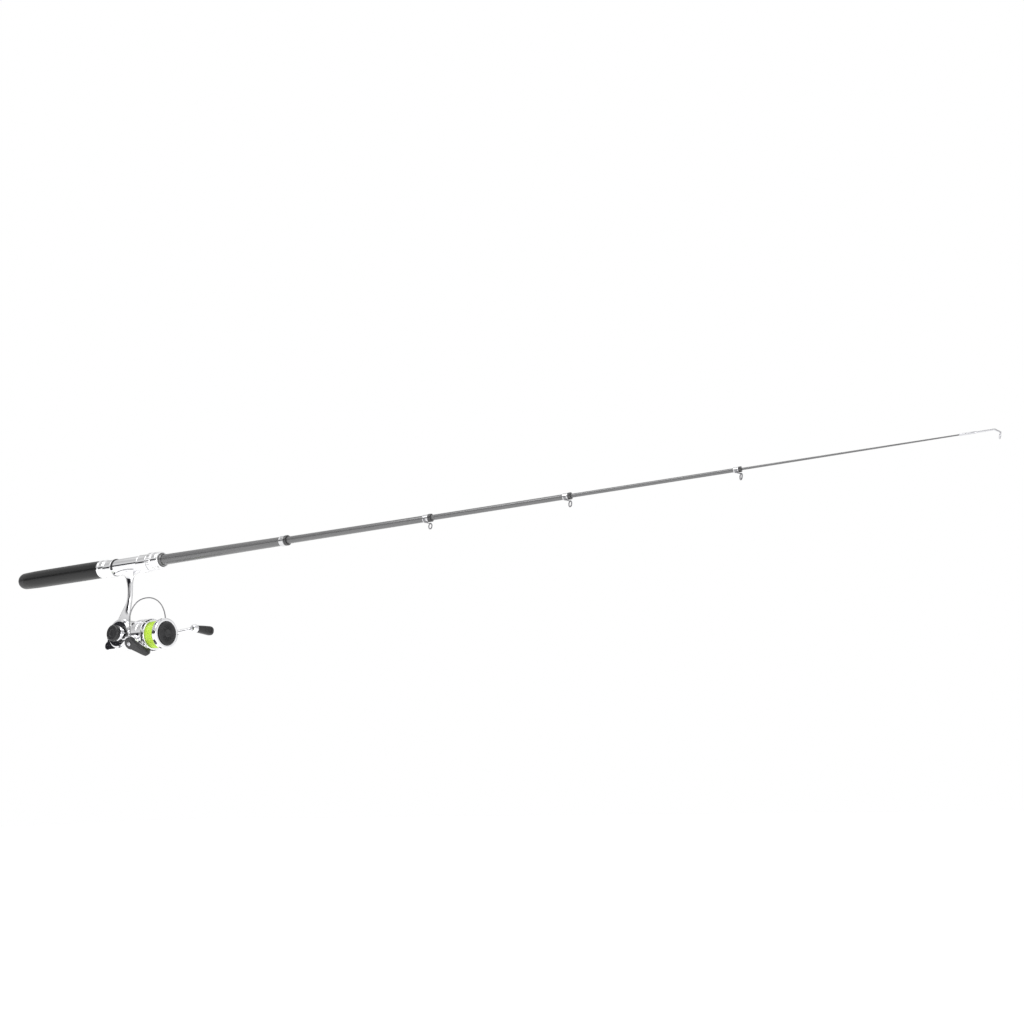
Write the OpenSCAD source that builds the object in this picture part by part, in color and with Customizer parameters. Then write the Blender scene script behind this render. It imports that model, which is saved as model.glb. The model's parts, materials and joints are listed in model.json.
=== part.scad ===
// Telescopic pocket rod with a small fixed-spool reel.
// +X runs along the rod towards its tip, +Z is up and the reel hangs below the rod.
// The origin is the centre of the butt's end face, on the rod's axis. +Y is the crank's side.

/* [Handle] */
// Radius of the grip at its fullest
grip_r = 9; // [8.5:0.1:9.5]
// Where the grip ends and the chrome reel seat begins
grip_end = 118; // [112:0.5:120]
// Bore radius of the handle tube that stores the sections
tube_bore_r = 6; // [5.9:0.05:6.1]
// Outer radius of the handle tube
tube_r = 6.9; // [6.8:0.05:7]
// Outer radius of the chrome seat sleeve
seat_r = 7.5; // [7.4:0.05:7.6]
// Front end of the chrome seat sleeve
seat_end = 197.5; // [196:0.5:198.5]

/* [Reel seat] */
// Rear face of the hood that is fixed to the handle
fixed_hood_x = 127.2; // [126:0.1:128]
// Rear face of the sliding hood when it clamps the foot
sliding_hood_x = 172.5; // [171.5:0.1:173.5]
// Length of each hood
hood_l = 12.6; // [11:0.1:13]
// Length of the lock nut
nut_l = 15.2; // [13:0.1:15.5]
// Half length of the reel foot
foot_half_l = 24; // [22:0.5:25]
// Half width of the reel foot at its middle
foot_half_w = 6.8; // [6:0.1:7]

/* [Sections] */
// Front ends of sections 1 to 4
section_end = [356.5, 511.5, 642.5, 781.5];
// Rear ends of sections 1 to 4
section_rear = [173.5, 336.5, 491.5, 624.5];
// Outer radius of sections 1 to 4 at the rear
section_r0 = [5.4, 3.4, 2.4, 1.65];
// Outer radius of sections 1 to 4 at the front
section_r1 = [4.15, 2.9, 2.28, 1.55];
// Radius of the tip rod at its rear
tip_r0 = 0.95; // [0.9:0.01:1]
// Rear end of the tip rod
tip_rear = 766.5; // [762:0.5:770]
// Front end of the tip rod
tip_end = 941.5; // [936:0.5:946]
// Sliding clearance of one section in the next, on the radius
slide_gap = 0.05; // [0.03:0.01:0.08]

/* [Guides] */
// Depth of each guide ring's centre below the axis, guides 1 to 3
guide_drop = [7.2, 6.4, 5.6];
// How far each guide ring's centre is ahead of its ferrule
guide_lead = 2.4; // [1:0.1:4]
// Mean radius of a guide ring
guide_ring_r = 2.3; // [2:0.05:2.6]
// Forward tilt of the guide rings in degrees
guide_tilt = 15; // [0:1:25]

/* [Reel] */
// Height of the spool's axis
spool_z = -73; // [-75:0.1:-71]
// Front face of the spool
spool_face_x = 211.6; // [210:0.1:213]
// Radius of the spool's front flange
flange_r = 14.75; // [14:0.05:15]
// Radius of the wound line
line_r = 13; // [10:0.1:13.5]
// Place of the crank's axis along the rod
gear_x = 155.5; // [154:0.1:157]
// Height of the crank's axis
gear_z = -69.6; // [-69.7:0.05:-69.5]
// Turn of the rotor's bail arms from level, in degrees
rotor_turn = 26; // [0:1:40]
// Place of the bail's pivots along the rod
pivot_x = 184; // [183.5:0.1:184.5]
// Lean of the bail wire from straight ahead, in degrees
wire_lean = 71; // [66:1:76]
// Lean of the bail lever from straight ahead, in degrees
lever_lean = -33; // [-36:1:-30]
// Radius of the bail wire
wire_r = 0.55; // [0.4:0.05:0.6]

/* [Crank] */
// Far end of the crank arm, at the middle of its knuckle
knuckle = [201.9, 46, -62.2];
// Near end of the crank arm, in its hub
hub_mid = [155.5, 33, -69.6];
// Part of the arm that the black socket covers
socket_part = 0.62; // [0.5:0.01:0.7]
// Length of the crank knob
knob_l = 20.5; // [19:0.5:22]

/* [Hidden] */
$fn = 48;
eps = 0.01;
chrome = [0.82, 0.83, 0.85];
black = [0.07, 0.07, 0.08];
graphite = [0.36, 0.36, 0.37];
steel = [0.6, 0.61, 0.63];

// Handle
butt_l = 10;
butt_face_r = 5;
butt_corner_r = 3.6;
plug_l = 9;
grip_end_r = 8.7;
grip_swell_x = 22;
collar_r = 8.8;
collar_rim_r = 9.2;
hood_r = 8.9;
hood_drop = 0.85;
pocket_r = 9.2;
pocket_half_w = 4.2;
foot_r = 8.9;
ferrule_x = seat_end;
ferrule_l = 5.5;
ferrule_r = 6.5;
nut_x = sliding_hood_x + hood_l + 0.3;
nut_ridge_l = 5.8;
knurls = 24;

// Sections
sections = len(section_end);
section_wall = 0.55;
ferrule_len = [8, 8, 7, 6];
winding_len = [3, 3, 2.6, 2.2];
band = 0.5;
tip_r1 = 0.45;
tip_tube_l = 9;
tip_wire_r = 0.4;
tip_top_x = 957.5;

// Reel drive
pinion_teeth = 9;
gear_teeth = 36;
pinion_mesh_r = 2.6;
pinion_tip_r = 3.25;
pinion_root_r = 1.95;
tooth_w = 0.5;
mesh_drop = gear_z - spool_z;
mesh_x = pinion_mesh_r * gear_teeth / pinion_teeth;
gear_tooth_l = 2.4;
gear_face_y = 3.6;
gear_disc_t = 2.2;
gear_disc_r = 12.2;
main_r = 1.1;
crank_r = 1.9;
running = 0.05;
small_teeth = 12;
big_teeth = 16;
small_module = 0.5;
osc_x = gear_x - small_module * (small_teeth + big_teeth) / 2;
osc_throw = 2;
housing_r = 14.4;
cavity_r = 13.2;
housing_y = 9;
split_y = -5;
boss_r = 9.6;
boss_end = 173.1;
boss_y = 20;
bearing_r = 4;

// Rotor and bail
rotor_x = 176.5;
catch_pin_r = 6.8;
rotor_front = 192.5;
rotor_r = 15.9;
rotor_bore_r = 15;
arm_h = 19;
arm_disc_r = 6.3;
lever_h0 = 19.2;
lever_h1 = 22.8;
lever_disc_r = 6;
lever_l = 20.5;
roller_at = 13.5;
roller_h0 = 15.6;
roller_h1 = 18.9;
roller_r = 2.6;
wire_h = 21;
wire_leg = 23.5;
wire_near_r = 16;
wire_far_r = 32.5;
wire_hook_r = 3.5;
screw_r = 1.2;
arm_r = 2.1;

// Spool
rim_l = 5.6;
line_l = 10.2;
arbor_r = 8;
rear_flange_r = 14.6;
rear_flange_l = 2.4;
cup_r = 11.4;
cup_depth = 4.2;
slots = 10;
rim_x = spool_face_x - rim_l;
line_x = rim_x - line_l;
rear_x = line_x - rear_flange_l;

// A solid turned about an axis along X from its outline of [x, radius] points
module turned(points) {
    rotate([90, 0, 90]) rotate_extrude() polygon([for (p = points) [p[1], p[0]]]);
}

// A tube along X
module tube_x(x0, x1, r, bore, n = 64) {
    translate([x0, 0, 0]) rotate([0, 90, 0]) difference() {
        cylinder(h = x1 - x0, r = r, $fn = n);
        translate([0, 0, -eps]) cylinder(h = x1 - x0 + 2 * eps, r = bore, $fn = n);
    }
}

// A rod along X
module rod_x(x0, x1, r) {
    translate([x0, 0, 0]) rotate([0, 90, 0]) cylinder(h = x1 - x0, r = r);
}

// A rod along Y about the crank's axis
module rod_y(y0, y1, r, n = 48) {
    translate([gear_x, y0, gear_z]) rotate([-90, 0, 0]) cylinder(h = y1 - y0, r = r, $fn = n);
}

// Children placed on the spool's axis
module on_spool_axis() {
    translate([0, 0, spool_z]) children();
}

// Children placed in the rotor's own frame, where the near bail arm is at -Y
module on_rotor() {
    on_spool_axis() rotate([rotor_turn, 0, 0]) children();
}

// An outline in the bail's plane of swing, extruded from h0 to h1 on the near side
module bail_plate(h0, h1, lean = 0) {
    translate([pivot_x, -h0, 0]) rotate([90, 0, 0]) rotate([0, 0, lean])
        linear_extrude(h1 - h0) children();
}

// A straight bar from p to q
module bar(p, q, r0, r1) {
    d = q - p;
    l = norm(d);
    translate(p) rotate([0, acos(d[2] / l), atan2(d[1], d[0])]) cylinder(h = l, r1 = r0, r2 = r1);
}

// Handle parts

module butt_cap() {
    color(black) difference() {
        union() {
            turned([[0, 0], [0, butt_face_r], [0.35, butt_face_r + 1.5], [1.4, butt_face_r + 2.7],
                [3.2, grip_end_r - 0.25], [5.2, grip_end_r], [butt_l, grip_end_r], [butt_l, 0]]);
            rod_x(butt_l - eps, butt_l + plug_l, tube_bore_r - 0.02);
        }
        translate([butt_l + 3, 0, 0]) rotate([0, 90, 0]) cylinder(h = plug_l, r = tube_bore_r - 1.2);
    }
}

module grip() {
    color(black) turned([[butt_l, tube_r], [butt_l, grip_end_r], [grip_swell_x, grip_r],
        [grip_end - grip_swell_x, grip_r], [grip_end - 0.6, collar_r], [grip_end, collar_r - 0.3],
        [grip_end, tube_r]]);
}

module handle_tube() {
    color(graphite) tube_x(butt_l, ferrule_x, tube_r, tube_bore_r);
}

module seat_sleeve() {
    color(chrome) tube_x(grip_end, seat_end, seat_r, tube_r);
}

module rear_collar() {
    x1 = fixed_hood_x;
    color(chrome) turned([[grip_end, seat_r], [grip_end, collar_rim_r - 0.3], [grip_end + 0.3, collar_rim_r],
        [grip_end + 1.6, collar_rim_r], [grip_end + 2, collar_r - 0.1], [x1 - 0.8, collar_r],
        [x1, collar_r - 0.5], [x1, seat_r]]);
}

// A hood ring whose pocket, on the underside, takes the tab of the foot. It runs from x0 to x1
module hood(x0, x1, bore, pocket0, pocket1) {
    color(chrome) difference() {
        translate([0, 0, -hood_drop]) turned([[x0, 0], [x0, hood_r - 0.35], [x0 + 0.35, hood_r],
            [x1 - 0.35, hood_r], [x1, hood_r - 0.35], [x1, 0]]);
        rod_x(x0 - 1, x1 + 1, bore);
        intersection() {
            rod_x(pocket0, pocket1, pocket_r);
            translate([pocket0, -pocket_half_w, -pocket_r - 1]) cube([pocket1 - pocket0, 2 * pocket_half_w, pocket_r]);
        }
    }
}

module fixed_hood() {
    hood(fixed_hood_x, fixed_hood_x + hood_l - 2, seat_r, fixed_hood_x + 3, fixed_hood_x + hood_l);
}

module seat_ring() {
    x0 = fixed_hood_x + hood_l - 2;
    color(black) difference() {
        tube_x(x0, x0 + 1.3, seat_r + 0.75, seat_r);
        translate([x0 - 1, -foot_half_w, -collar_rim_r - 1]) cube([4, 2 * foot_half_w, 7]);
    }
}

module sliding_hood() {
    hood(sliding_hood_x, sliding_hood_x + hood_l, seat_r + running, sliding_hood_x - 1, sliding_hood_x + 8.5);
}

module lock_nut() {
    x0 = nut_x;
    x1 = nut_x + nut_l;
    ridge = x0 + nut_ridge_l;
    lip = seat_end + 0.3;
    color(chrome) difference() {
        turned([[x0, 0], [x0, 8.2], [x0 + 0.6, 8.8], [ridge - 0.6, 8.8], [ridge, 8.1], [ridge + 0.5, 7.95],
            [ridge + 1.2, 8.35], [x1 - 1.6, 8.4], [x1 - 0.4, 7.9], [x1, 7.4], [x1, 0]]);
        rod_x(x0 - 1, lip, seat_r + running);
        rod_x(x0, x1 + 1, ferrule_r + 0.3);
        for (i = [0:knurls - 1]) rotate([i * 360 / knurls, 0, 0])
            translate([x0 - 1, 0, 8.95]) rotate([0, 90, 0]) cylinder(h = nut_ridge_l + 0.8, r = 0.35, $fn = 16);
    }
}

module front_ferrule() {
    x1 = ferrule_x + ferrule_l;
    bore = section_r0[0] + slide_gap;
    color(graphite) turned([[ferrule_x - 8, bore], [ferrule_x - 8, tube_bore_r], [ferrule_x, tube_bore_r],
        [ferrule_x, ferrule_r - 0.3], [ferrule_x + 1.5, ferrule_r], [x1 - 2, ferrule_r], [x1 - 0.6, ferrule_r - 0.5],
        [x1, ferrule_r - 0.9], [x1, bore]]);
}

// Rod sections

// Outer radius of section i at x
function section_r(i, x) = section_r0[i] + (section_r1[i] - section_r0[i])
    * (x - section_rear[i]) / (section_end[i] - section_rear[i]);

// Radius of the bore that the next section slides in
function next_bore(i) = (i < sections - 1 ? section_r0[i + 1] : tip_r0) + slide_gap;

module section(i) {
    x0 = section_rear[i];
    x1 = section_end[i] - band;
    bore0 = max(section_r0[i] - section_wall, next_bore(i));
    color(graphite) turned([[x0, bore0], [x0, section_r0[i]], [x1, section_r(i, x1)], [x1, next_bore(i)]]);
}

module section_1() section(0);
module section_2() section(1);
module section_3() section(2);
module section_4() section(3);

// The polished ring on the front end of section i
module ferrule(i) {
    x1 = section_end[i] - winding_len[i];
    x0 = section_end[i] - ferrule_len[i];
    r = section_r(i, x0) + band;
    inner = section_r(i, x0);
    color(chrome) turned([[x0, inner], [x0, r - 0.2], [x0 + 0.3, r], [x1 - 0.3, r], [x1, r - 0.2],
        [x1, section_r(i, x1)]]);
}

module ferrule_1() ferrule(0);
module ferrule_2() ferrule(1);
module ferrule_3() ferrule(2);
module ferrule_4() ferrule(3);

// The black lacquered winding that ends section i
module winding(i) {
    x0 = section_end[i] - winding_len[i];
    x1 = section_end[i];
    r = section_r(i, x0) + band + 0.15;
    color(black) turned([[x0, section_r(i, x0)], [x0, r - 0.2], [x0 + 0.3, r], [x1 - 0.6, r], [x1, r - 0.4],
        [x1, next_bore(i)], [x1 - band, next_bore(i)], [x1 - band, section_r(i, x1 - band)]]);
}

module winding_1() winding(0);
module winding_2() winding(1);
module winding_3() winding(2);
module winding_4() winding(3);

module tip_rod() {
    color(graphite) turned([[tip_rear, 0], [tip_rear, tip_r0], [tip_end, tip_r1], [tip_end, 0]]);
}

// A smooth ring of mean radius r, centred at c and tilted forward, with a short true bore
module wire_ring(c, r, wire) {
    half = 0.35;
    bevel = wire * 0.4;
    translate(c) rotate([0, 90 + guide_tilt, 0]) rotate_extrude() polygon([[r - wire, -half], [r - bevel, -wire],
        [r + bevel, -wire], [r + wire, -half], [r + wire, half], [r + bevel, wire], [r - bevel, wire],
        [r - wire, half]]);
}

// Guide k hangs from the ferrule on section k + 1
module guide(k) {
    i = k + 1;
    top = section_r(i, section_end[i] - ferrule_len[i]) + band;
    x0 = section_end[i] - ferrule_len[i] + 1;
    c = [section_end[i] - winding_len[i] - 1 + guide_lead, 0, -guide_drop[k]];
    foot = [x0, 0, -top - 0.45];
    ring_top = c + guide_ring_r * [sin(guide_tilt), 0, cos(guide_tilt)];
    color(steel) {
        difference() {
            tube_x(x0 - 0.2, x0 + 2, top + 0.5, top);
            translate([x0 - 1, -top - 1, 0]) cube([4, 2 * top + 2, top + 1]);
        }
        for (side = [-1, 1]) bar(foot + [1, side * 0.9, 0], ring_top + [0, side * 0.9, -0.3], 0.42, 0.38);
        wire_ring(c, guide_ring_r, 0.5);
    }
}

module guide_1() guide(0);
module guide_2() guide(1);
module guide_3() guide(2);

module tip_top() {
    c = [tip_top_x, 0, -4.6];
    ring_r = 2.1;
    bend_r = 1.6;
    bend_x = tip_top_x - 3.2;
    up = [sin(guide_tilt), 0, cos(guide_tilt)];
    bend_end = [bend_x + bend_r * sin(70), 0, -bend_r * (1 - cos(70))];
    color(steel) {
        turned([[tip_end - tip_tube_l, tip_r1 + 0.06], [tip_end - tip_tube_l, 0.85], [tip_end + 1, 0.75],
            [tip_end + 2, 0.6], [tip_end + 2, 0], [tip_end + 0.2, 0], [tip_end + 0.2, tip_r1 + 0.06]]);
        rod_x(tip_end + 1, bend_x, tip_wire_r);
        translate([bend_x, 0, -bend_r]) rotate([90, 0, 0]) rotate([0, 0, 17]) rotate_extrude(angle = 76)
            translate([bend_r, 0]) circle(r = tip_wire_r + 0.03, $fn = 20);
        bar(bend_end, c + ring_r * up, tip_wire_r, tip_wire_r);
        wire_ring(c, ring_r, 0.45);
    }
}

// Reel frame

// Centre, half length and half width of the stem at each height, from the foot down
stem_rings = [[-8.4, 156.7, 9.5, 4.4], [-10.6, 156.9, 6.4, 3.4], [-13.5, 157.2, 4.6, 2.7],
    [-17.5, 157.7, 3.6, 2.3], [-22, 158.5, 2.9, 2.1], [-28, 159, 2.5, 2.1], [-34, 158.9, 2.5, 2.2],
    [-39, 157.9, 3.1, 2.4], [-44, 156.1, 4.5, 2.7], [-49, 154.4, 5.9, 3.2], [-54, 153.1, 7.4, 3.9],
    [-59, 152.5, 8.6, 4.8]];
stem_sides = 24;

module stem() {
    n = len(stem_rings);
    points = [for (s = stem_rings) for (j = [0:stem_sides - 1])
        [s[1] + s[2] * cos(j * 360 / stem_sides), s[3] * sin(j * 360 / stem_sides), s[0]]];
    sides = [for (i = [0:n - 2]) for (j = [0:stem_sides - 1])
        let (k = (j + 1) % stem_sides, a = i * stem_sides, b = a + stem_sides) [a + j, a + k, b + k, b + j]];
    top = [for (j = [stem_sides - 1:-1:0]) j];
    bottom = [for (j = [0:stem_sides - 1]) (n - 1) * stem_sides + j];
    polyhedron(points = points, faces = concat([top], sides, [bottom]), convexity = 4);
}

module foot_plate() {
    lens_r = (foot_half_l * foot_half_l + foot_half_w * foot_half_w) / (2 * foot_half_w);
    intersection() {
        tube_x(gear_x - foot_half_l, gear_x + foot_half_l + 1, foot_r, seat_r);
        translate([gear_x + 0.5, 0, -12]) linear_extrude(11) intersection() {
            translate([0, lens_r - foot_half_w]) circle(r = lens_r, $fn = 96);
            translate([0, foot_half_w - lens_r]) circle(r = lens_r, $fn = 96);
        }
    }
}

module reel_foot() {
    color(chrome) {
        foot_plate();
        difference() {
            stem();
            case_form(-housing_y - 2, housing_y + 2, housing_r - cavity_r);
        }
    }
}

// Outer form of the gear case between two planes, grown by g
module case_form(y0, y1, g) {
    translate([gear_x, y0, gear_z]) rotate([-90, 0, 0]) {
        cylinder(h = y1 - y0, r = cavity_r + g, $fn = 96);
        translate([-13.5, 10.5, 0]) cylinder(h = y1 - y0, r = 3.4 + g);
        rotate([0, 0, 90]) translate([3, 4, 0]) cube([10.4 + g, 11, y1 - y0]);
    }
}

// The round nose of the case, which holds the pinion
module nose() {
    on_spool_axis() rod_x(gear_x + 8, boss_end - 2, boss_r);
    on_spool_axis() rod_x(boss_end - 2.1, boss_end, boss_r - 1.6);
}

module gear_housing() {
    color(chrome) difference() {
        union() {
            case_form(split_y, housing_y - 1.2, housing_r - cavity_r);
            rod_y(housing_y - 1.3, housing_y, housing_r - 1.3, 96);
            nose();
            rod_y(housing_y - 1, boss_y, bearing_r + 1.6);
        }
        rod_y(split_y - 1, housing_y - 2.4, cavity_r, 96);
        rod_y(0, boss_y + 1, crank_r + 0.6);
        for (y = [housing_y - 2.5, boss_y - 2.2]) rod_y(y, y + 2.3, bearing_r);
        on_spool_axis() rod_x(gear_x + 6, boss_end - 4.2, 4.4);
        on_spool_axis() rod_x(boss_end - 4.3, boss_end + 1, 6);
        on_catch_pin() translate([0, 0, -2.2]) cylinder(h = 3, r = 0.75 + running);
        for (a = screw_angles) screw_at(a) translate([0, 0, -1]) cylinder(h = 6, r = 0.8);
    }
}

screw_angles = [75, 165, 305];

module screw_at(a) {
    translate([gear_x, split_y, gear_z]) rotate([-90, 0, 0])
        translate([(cavity_r + 0.1) * cos(a), (cavity_r + 0.1) * sin(a), 0]) children();
}

module side_cover() {
    color(chrome) difference() {
        union() {
            case_form(-housing_y + 1.2, split_y, housing_r - cavity_r);
            rod_y(-housing_y, -housing_y + 1.3, housing_r - 1.3, 96);
            rod_y(-housing_y - 3, -housing_y + 1, 6.4);
        }
        difference() {
            rod_y(-housing_y + 2.4, split_y + 1, cavity_r, 96);
            translate([osc_x - gear_x, 0, 0]) rod_y(-housing_y, -4.4, 1 - running);
        }
        nose();
        rod_y(-housing_y - 4, 0, crank_r + 0.6);
        rod_y(-housing_y + 0.2, -housing_y + 2.5, bearing_r);
        rod_y(-housing_y - 4, -housing_y - 1.2, 4.5);
        for (a = screw_angles) screw_at(a) mirror([0, 0, 1]) {
            cylinder(h = 6, r = 0.8);
            translate([0, 0, 2.9]) cylinder(h = 3, r = 1.6);
        }
    }
}

module cover_screws() {
    color(steel) for (a = screw_angles) screw_at(a) mirror([0, 0, 1]) difference() {
        union() {
            translate([0, 0, -3.4]) cylinder(h = 6.4, r = 0.8);
            translate([0, 0, 2.9]) cylinder(h = 1, r = 1.5);
        }
        for (q = [0, 90]) rotate([0, 0, q]) translate([-1, -0.2, 3.4]) cube([2, 0.4, 1]);
    }
}

module shaft_bearings() {
    color(steel) for (y = [-housing_y + 0.2, housing_y - 2.4, boss_y - 2.2]) difference() {
        rod_y(y, y + 2.2, bearing_r);
        rod_y(y - 1, y + 3, crank_r + running);
    }
}

module pinion_bearing() {
    color(steel) on_spool_axis() tube_x(boss_end - 4.2, boss_end - 0.6, 6, 2.4 + running);
}

// Drive

module crank_shaft() {
    color(steel) rod_y(-housing_y - 1, hub_mid[1] + 2, crank_r);
    color(steel) translate([gear_x, -5.2, gear_z]) rotate([-90, 0, 0]) spur(small_teeth, 1.4, 0);
}

// A spur gear, h thick, with a tooth at turn degrees
module spur(teeth, h, turn) {
    pitch_r = small_module * teeth / 2;
    cylinder(h = h, r = pitch_r - 0.6);
    for (i = [0:teeth - 1]) rotate([0, 0, turn + i * 360 / teeth]) linear_extrude(h)
        polygon([[pitch_r - 1, -0.36], [pitch_r + 0.35, -0.17], [pitch_r + 0.35, 0.17], [pitch_r - 1, 0.36]]);
}

module drive_gear() {
    reach = mesh_x - gear_tooth_l / 2;
    color([0.72, 0.6, 0.35]) difference() {
        union() {
            rod_y(gear_face_y, gear_face_y + gear_disc_t, gear_disc_r, 96);
            rod_y(gear_face_y, gear_face_y + gear_disc_t + 0.4, 4.4);
            translate([gear_x, 0, gear_z]) for (i = [0:gear_teeth - 1]) rotate([0, i * 360 / gear_teeth, 0])
                translate([reach, 2.2, -mesh_drop - tooth_w / 2]) cube([gear_tooth_l, 1.5, tooth_w]);
        }
        rod_y(0, 20, crank_r);
    }
}

module oscillation_gear() {
    color([0.9, 0.9, 0.86]) translate([osc_x, -5.2, gear_z]) rotate([-90, 0, 0]) difference() {
        union() {
            spur(big_teeth, 1.4, 180 / big_teeth);
            translate([osc_throw, 0, 0]) cylinder(h = 2.8, r = 0.9);
        }
        translate([0, 0, -1]) cylinder(h = 2, r = 1);
    }
}

module slider() {
    sx = osc_x + osc_throw;
    color([0.9, 0.9, 0.86]) difference() {
        union() {
            translate([sx - 2, -2.1, spool_z - 1.2]) cube([4, 0.9, mesh_drop + 5.2]);
            translate([sx - 2, -2.1, spool_z - 2.2]) cube([4, 4.2, 3.2]);
        }
        translate([sx - 1, -3, gear_z - 3]) cube([2, 3, 6.2]);
        on_spool_axis() rod_x(sx - 4, sx + 4, main_r);
    }
}

module main_shaft() {
    color(steel) on_spool_axis() rod_x(osc_x - 1, spool_face_x - 1, main_r);
}

module pinion() {
    color([0.72, 0.6, 0.35]) on_spool_axis() difference() {
        union() {
            rod_x(gear_x + 8.4, rotor_x + 5, pinion_root_r);
            rod_x(gear_x + 12.8, rotor_x + 5, 2.4);
            rotate([0, 90, 0]) for (i = [0:pinion_teeth - 1]) rotate([0, 0, (i + 0.5) * 360 / pinion_teeth + 90])
                translate([0, 0, gear_x + 8.4]) linear_extrude(3.6)
                polygon([[1.6, -0.42], [pinion_tip_r, -0.18], [pinion_tip_r, 0.18], [1.6, 0.42]]);
        }
        rod_x(gear_x, rotor_x + 20, main_r + running);
    }
}

module ratchet_wheel() {
    teeth = 12;
    step = 360 / teeth;
    color(steel) on_spool_axis() difference() {
        rotate([0, 90, 0]) translate([0, 0, boss_end + 0.5]) linear_extrude(2) polygon([for (i = [0:teeth - 1])
            for (p = [[4.1, 0], [5, 3]]) [p[0] * cos(i * step + p[1]), p[0] * sin(i * step + p[1])]]);
        rod_x(boss_end - 1, boss_end + 4, 2.4);
    }
}

// The anti-reverse catch turns on a pin in the case's front face, and its tail is the thumb lever
module on_catch_pin() {
    on_spool_axis() rotate([-55, 0, 0]) translate([boss_end, -catch_pin_r, 0]) rotate([0, 90, 0]) children();
}

module reverse_lever() {
    color(black) on_catch_pin() {
        translate([0, 0, -2]) cylinder(h = 2.4, r = 0.75);
        translate([0, 0, 0.3]) linear_extrude(1.7) {
            circle(r = 1.3);
            translate([0, 0.4]) rotate(-8) square([3.2, 0.9]);
            translate([-0.9, -6.6]) square([1.8, 6.6]);
            translate([0, -6.6]) circle(r = 1.5);
        }
    }
}

// Rotor and bail

module rotor() {
    color(chrome) on_rotor() difference() {
        union() {
            turned([[rotor_x, 0], [rotor_x, rotor_r - 1.4], [rotor_x + 0.4, rotor_r - 0.4], [rotor_x + 1.4, rotor_r],
                [rotor_front - 0.5, rotor_r], [rotor_front, rotor_r - 0.4], [rotor_front, 0]]);
            for (side = [0, 180]) rotate([side, 0, 0]) bail_plate(12, arm_h) {
                circle(r = arm_disc_r);
                translate([-7.5, -arm_disc_r]) square([13.8, 2 * arm_disc_r]);
            }
        }
        rod_x(rotor_x + 2.5, rotor_front + 5, rotor_bore_r);
        rod_x(rotor_x - 5, rotor_front, 2.4);
        for (side = [0, 180]) rotate([side, 0, 0]) bail_plate(10, arm_h + 1) circle(r = screw_r, $fn = 48);
    }
}

module rotor_nut() {
    color(steel) on_spool_axis() difference() {
        translate([rotor_x + 2.5, 0, 0]) rotate([0, 90, 0]) cylinder(h = 2.2, r = 4.4, $fn = 6);
        rod_x(rotor_x, rotor_x + 10, 2.4);
    }
}

module bail_screws() {
    color(steel) on_rotor() for (side = [0, 180]) rotate([side, 0, 0]) difference() {
        union() {
            bail_plate(15.2, lever_h1 + 0.3) circle(r = screw_r, $fn = 48);
            bail_plate(lever_h1 + 0.2, lever_h1 + 1) circle(r = 2.1, $fn = 48);
        }
        for (q = [0, 90]) bail_plate(lever_h1 + 0.6, lever_h1 + 2, q) square([2.6, 0.5], center = true);
    }
}

module bail_lever() {
    color(black) on_rotor() difference() {
        union() {
            bail_plate(lever_h0, lever_h1, lever_lean) {
                circle(r = lever_disc_r, $fn = 64);
                polygon([[0, 5], [lever_l - 5, 3.6], [lever_l - 1, 3], [lever_l + 1, 2], [lever_l + 2, 0.4],
                    [lever_l + 2, -1.4], [lever_l + 0.6, -3], [lever_l - 2, -3.8], [0, -5]]);
            }
            bail_plate(16.4, lever_h0 + 1, lever_lean) translate([roller_at + 4, -3]) square([3.4, 5.4]);
            bail_plate(roller_h0, lever_h0 + 1, lever_lean) translate([roller_at, 0]) circle(r = 0.8);
        }
        bail_plate(lever_h0 - 1, lever_h1 + 1) circle(r = screw_r + running, $fn = 48);
    }
}

module line_roller() {
    half = (roller_h1 - roller_h0) / 2;
    color(steel) on_rotor() translate([pivot_x, -roller_h0 - half, 0]) rotate([90, 0, 0])
        rotate([0, 0, lever_lean]) translate([roller_at, 0, 0]) rotate_extrude() polygon([
            [0.85, -half], [roller_r, -half], [roller_r, -half + 0.5], [roller_r - 0.6, -0.4],
            [roller_r - 0.6, 0.4], [roller_r, half - 0.5], [roller_r, half], [0.85, half]]);
}

module bail_holder() {
    color(black) on_rotor() rotate([180, 0, 0]) difference() {
        bail_plate(lever_h0, lever_h1) {
            circle(r = lever_disc_r - 0.4, $fn = 64);
            rotate(-wire_lean) translate([0, -2]) square([8, 4]);
        }
        bail_plate(lever_h0 - 1, lever_h1 + 1) circle(r = screw_r + running, $fn = 48);
        bail_plate(lever_h0 - 1, lever_h0 + 1.7) difference() {
            circle(r = 4.4);
            circle(r = 2.3);
        }
    }
}

// Two coils of the spring that snaps the bail over, in the holder's inner recess
module bail_spring() {
    color(steel) on_rotor() for (h = [lever_h0 + 0.45, lever_h0 + 1.2]) translate([pivot_x, h, 0])
        rotate([90, 0, 0]) rotate_extrude() translate([3.4, 0]) circle(r = 0.35, $fn = 16);
}

// One arc of wire in the bail's plane, about [h, r], from angle a over a sweep
module wire_arc(h, r, bend, a, sweep) {
    translate([h, r, 0]) rotate([0, 0, a]) rotate_extrude(angle = sweep, $fn = 96)
        translate([bend, 0]) circle(r = wire_r, $fn = 16);
}

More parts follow.
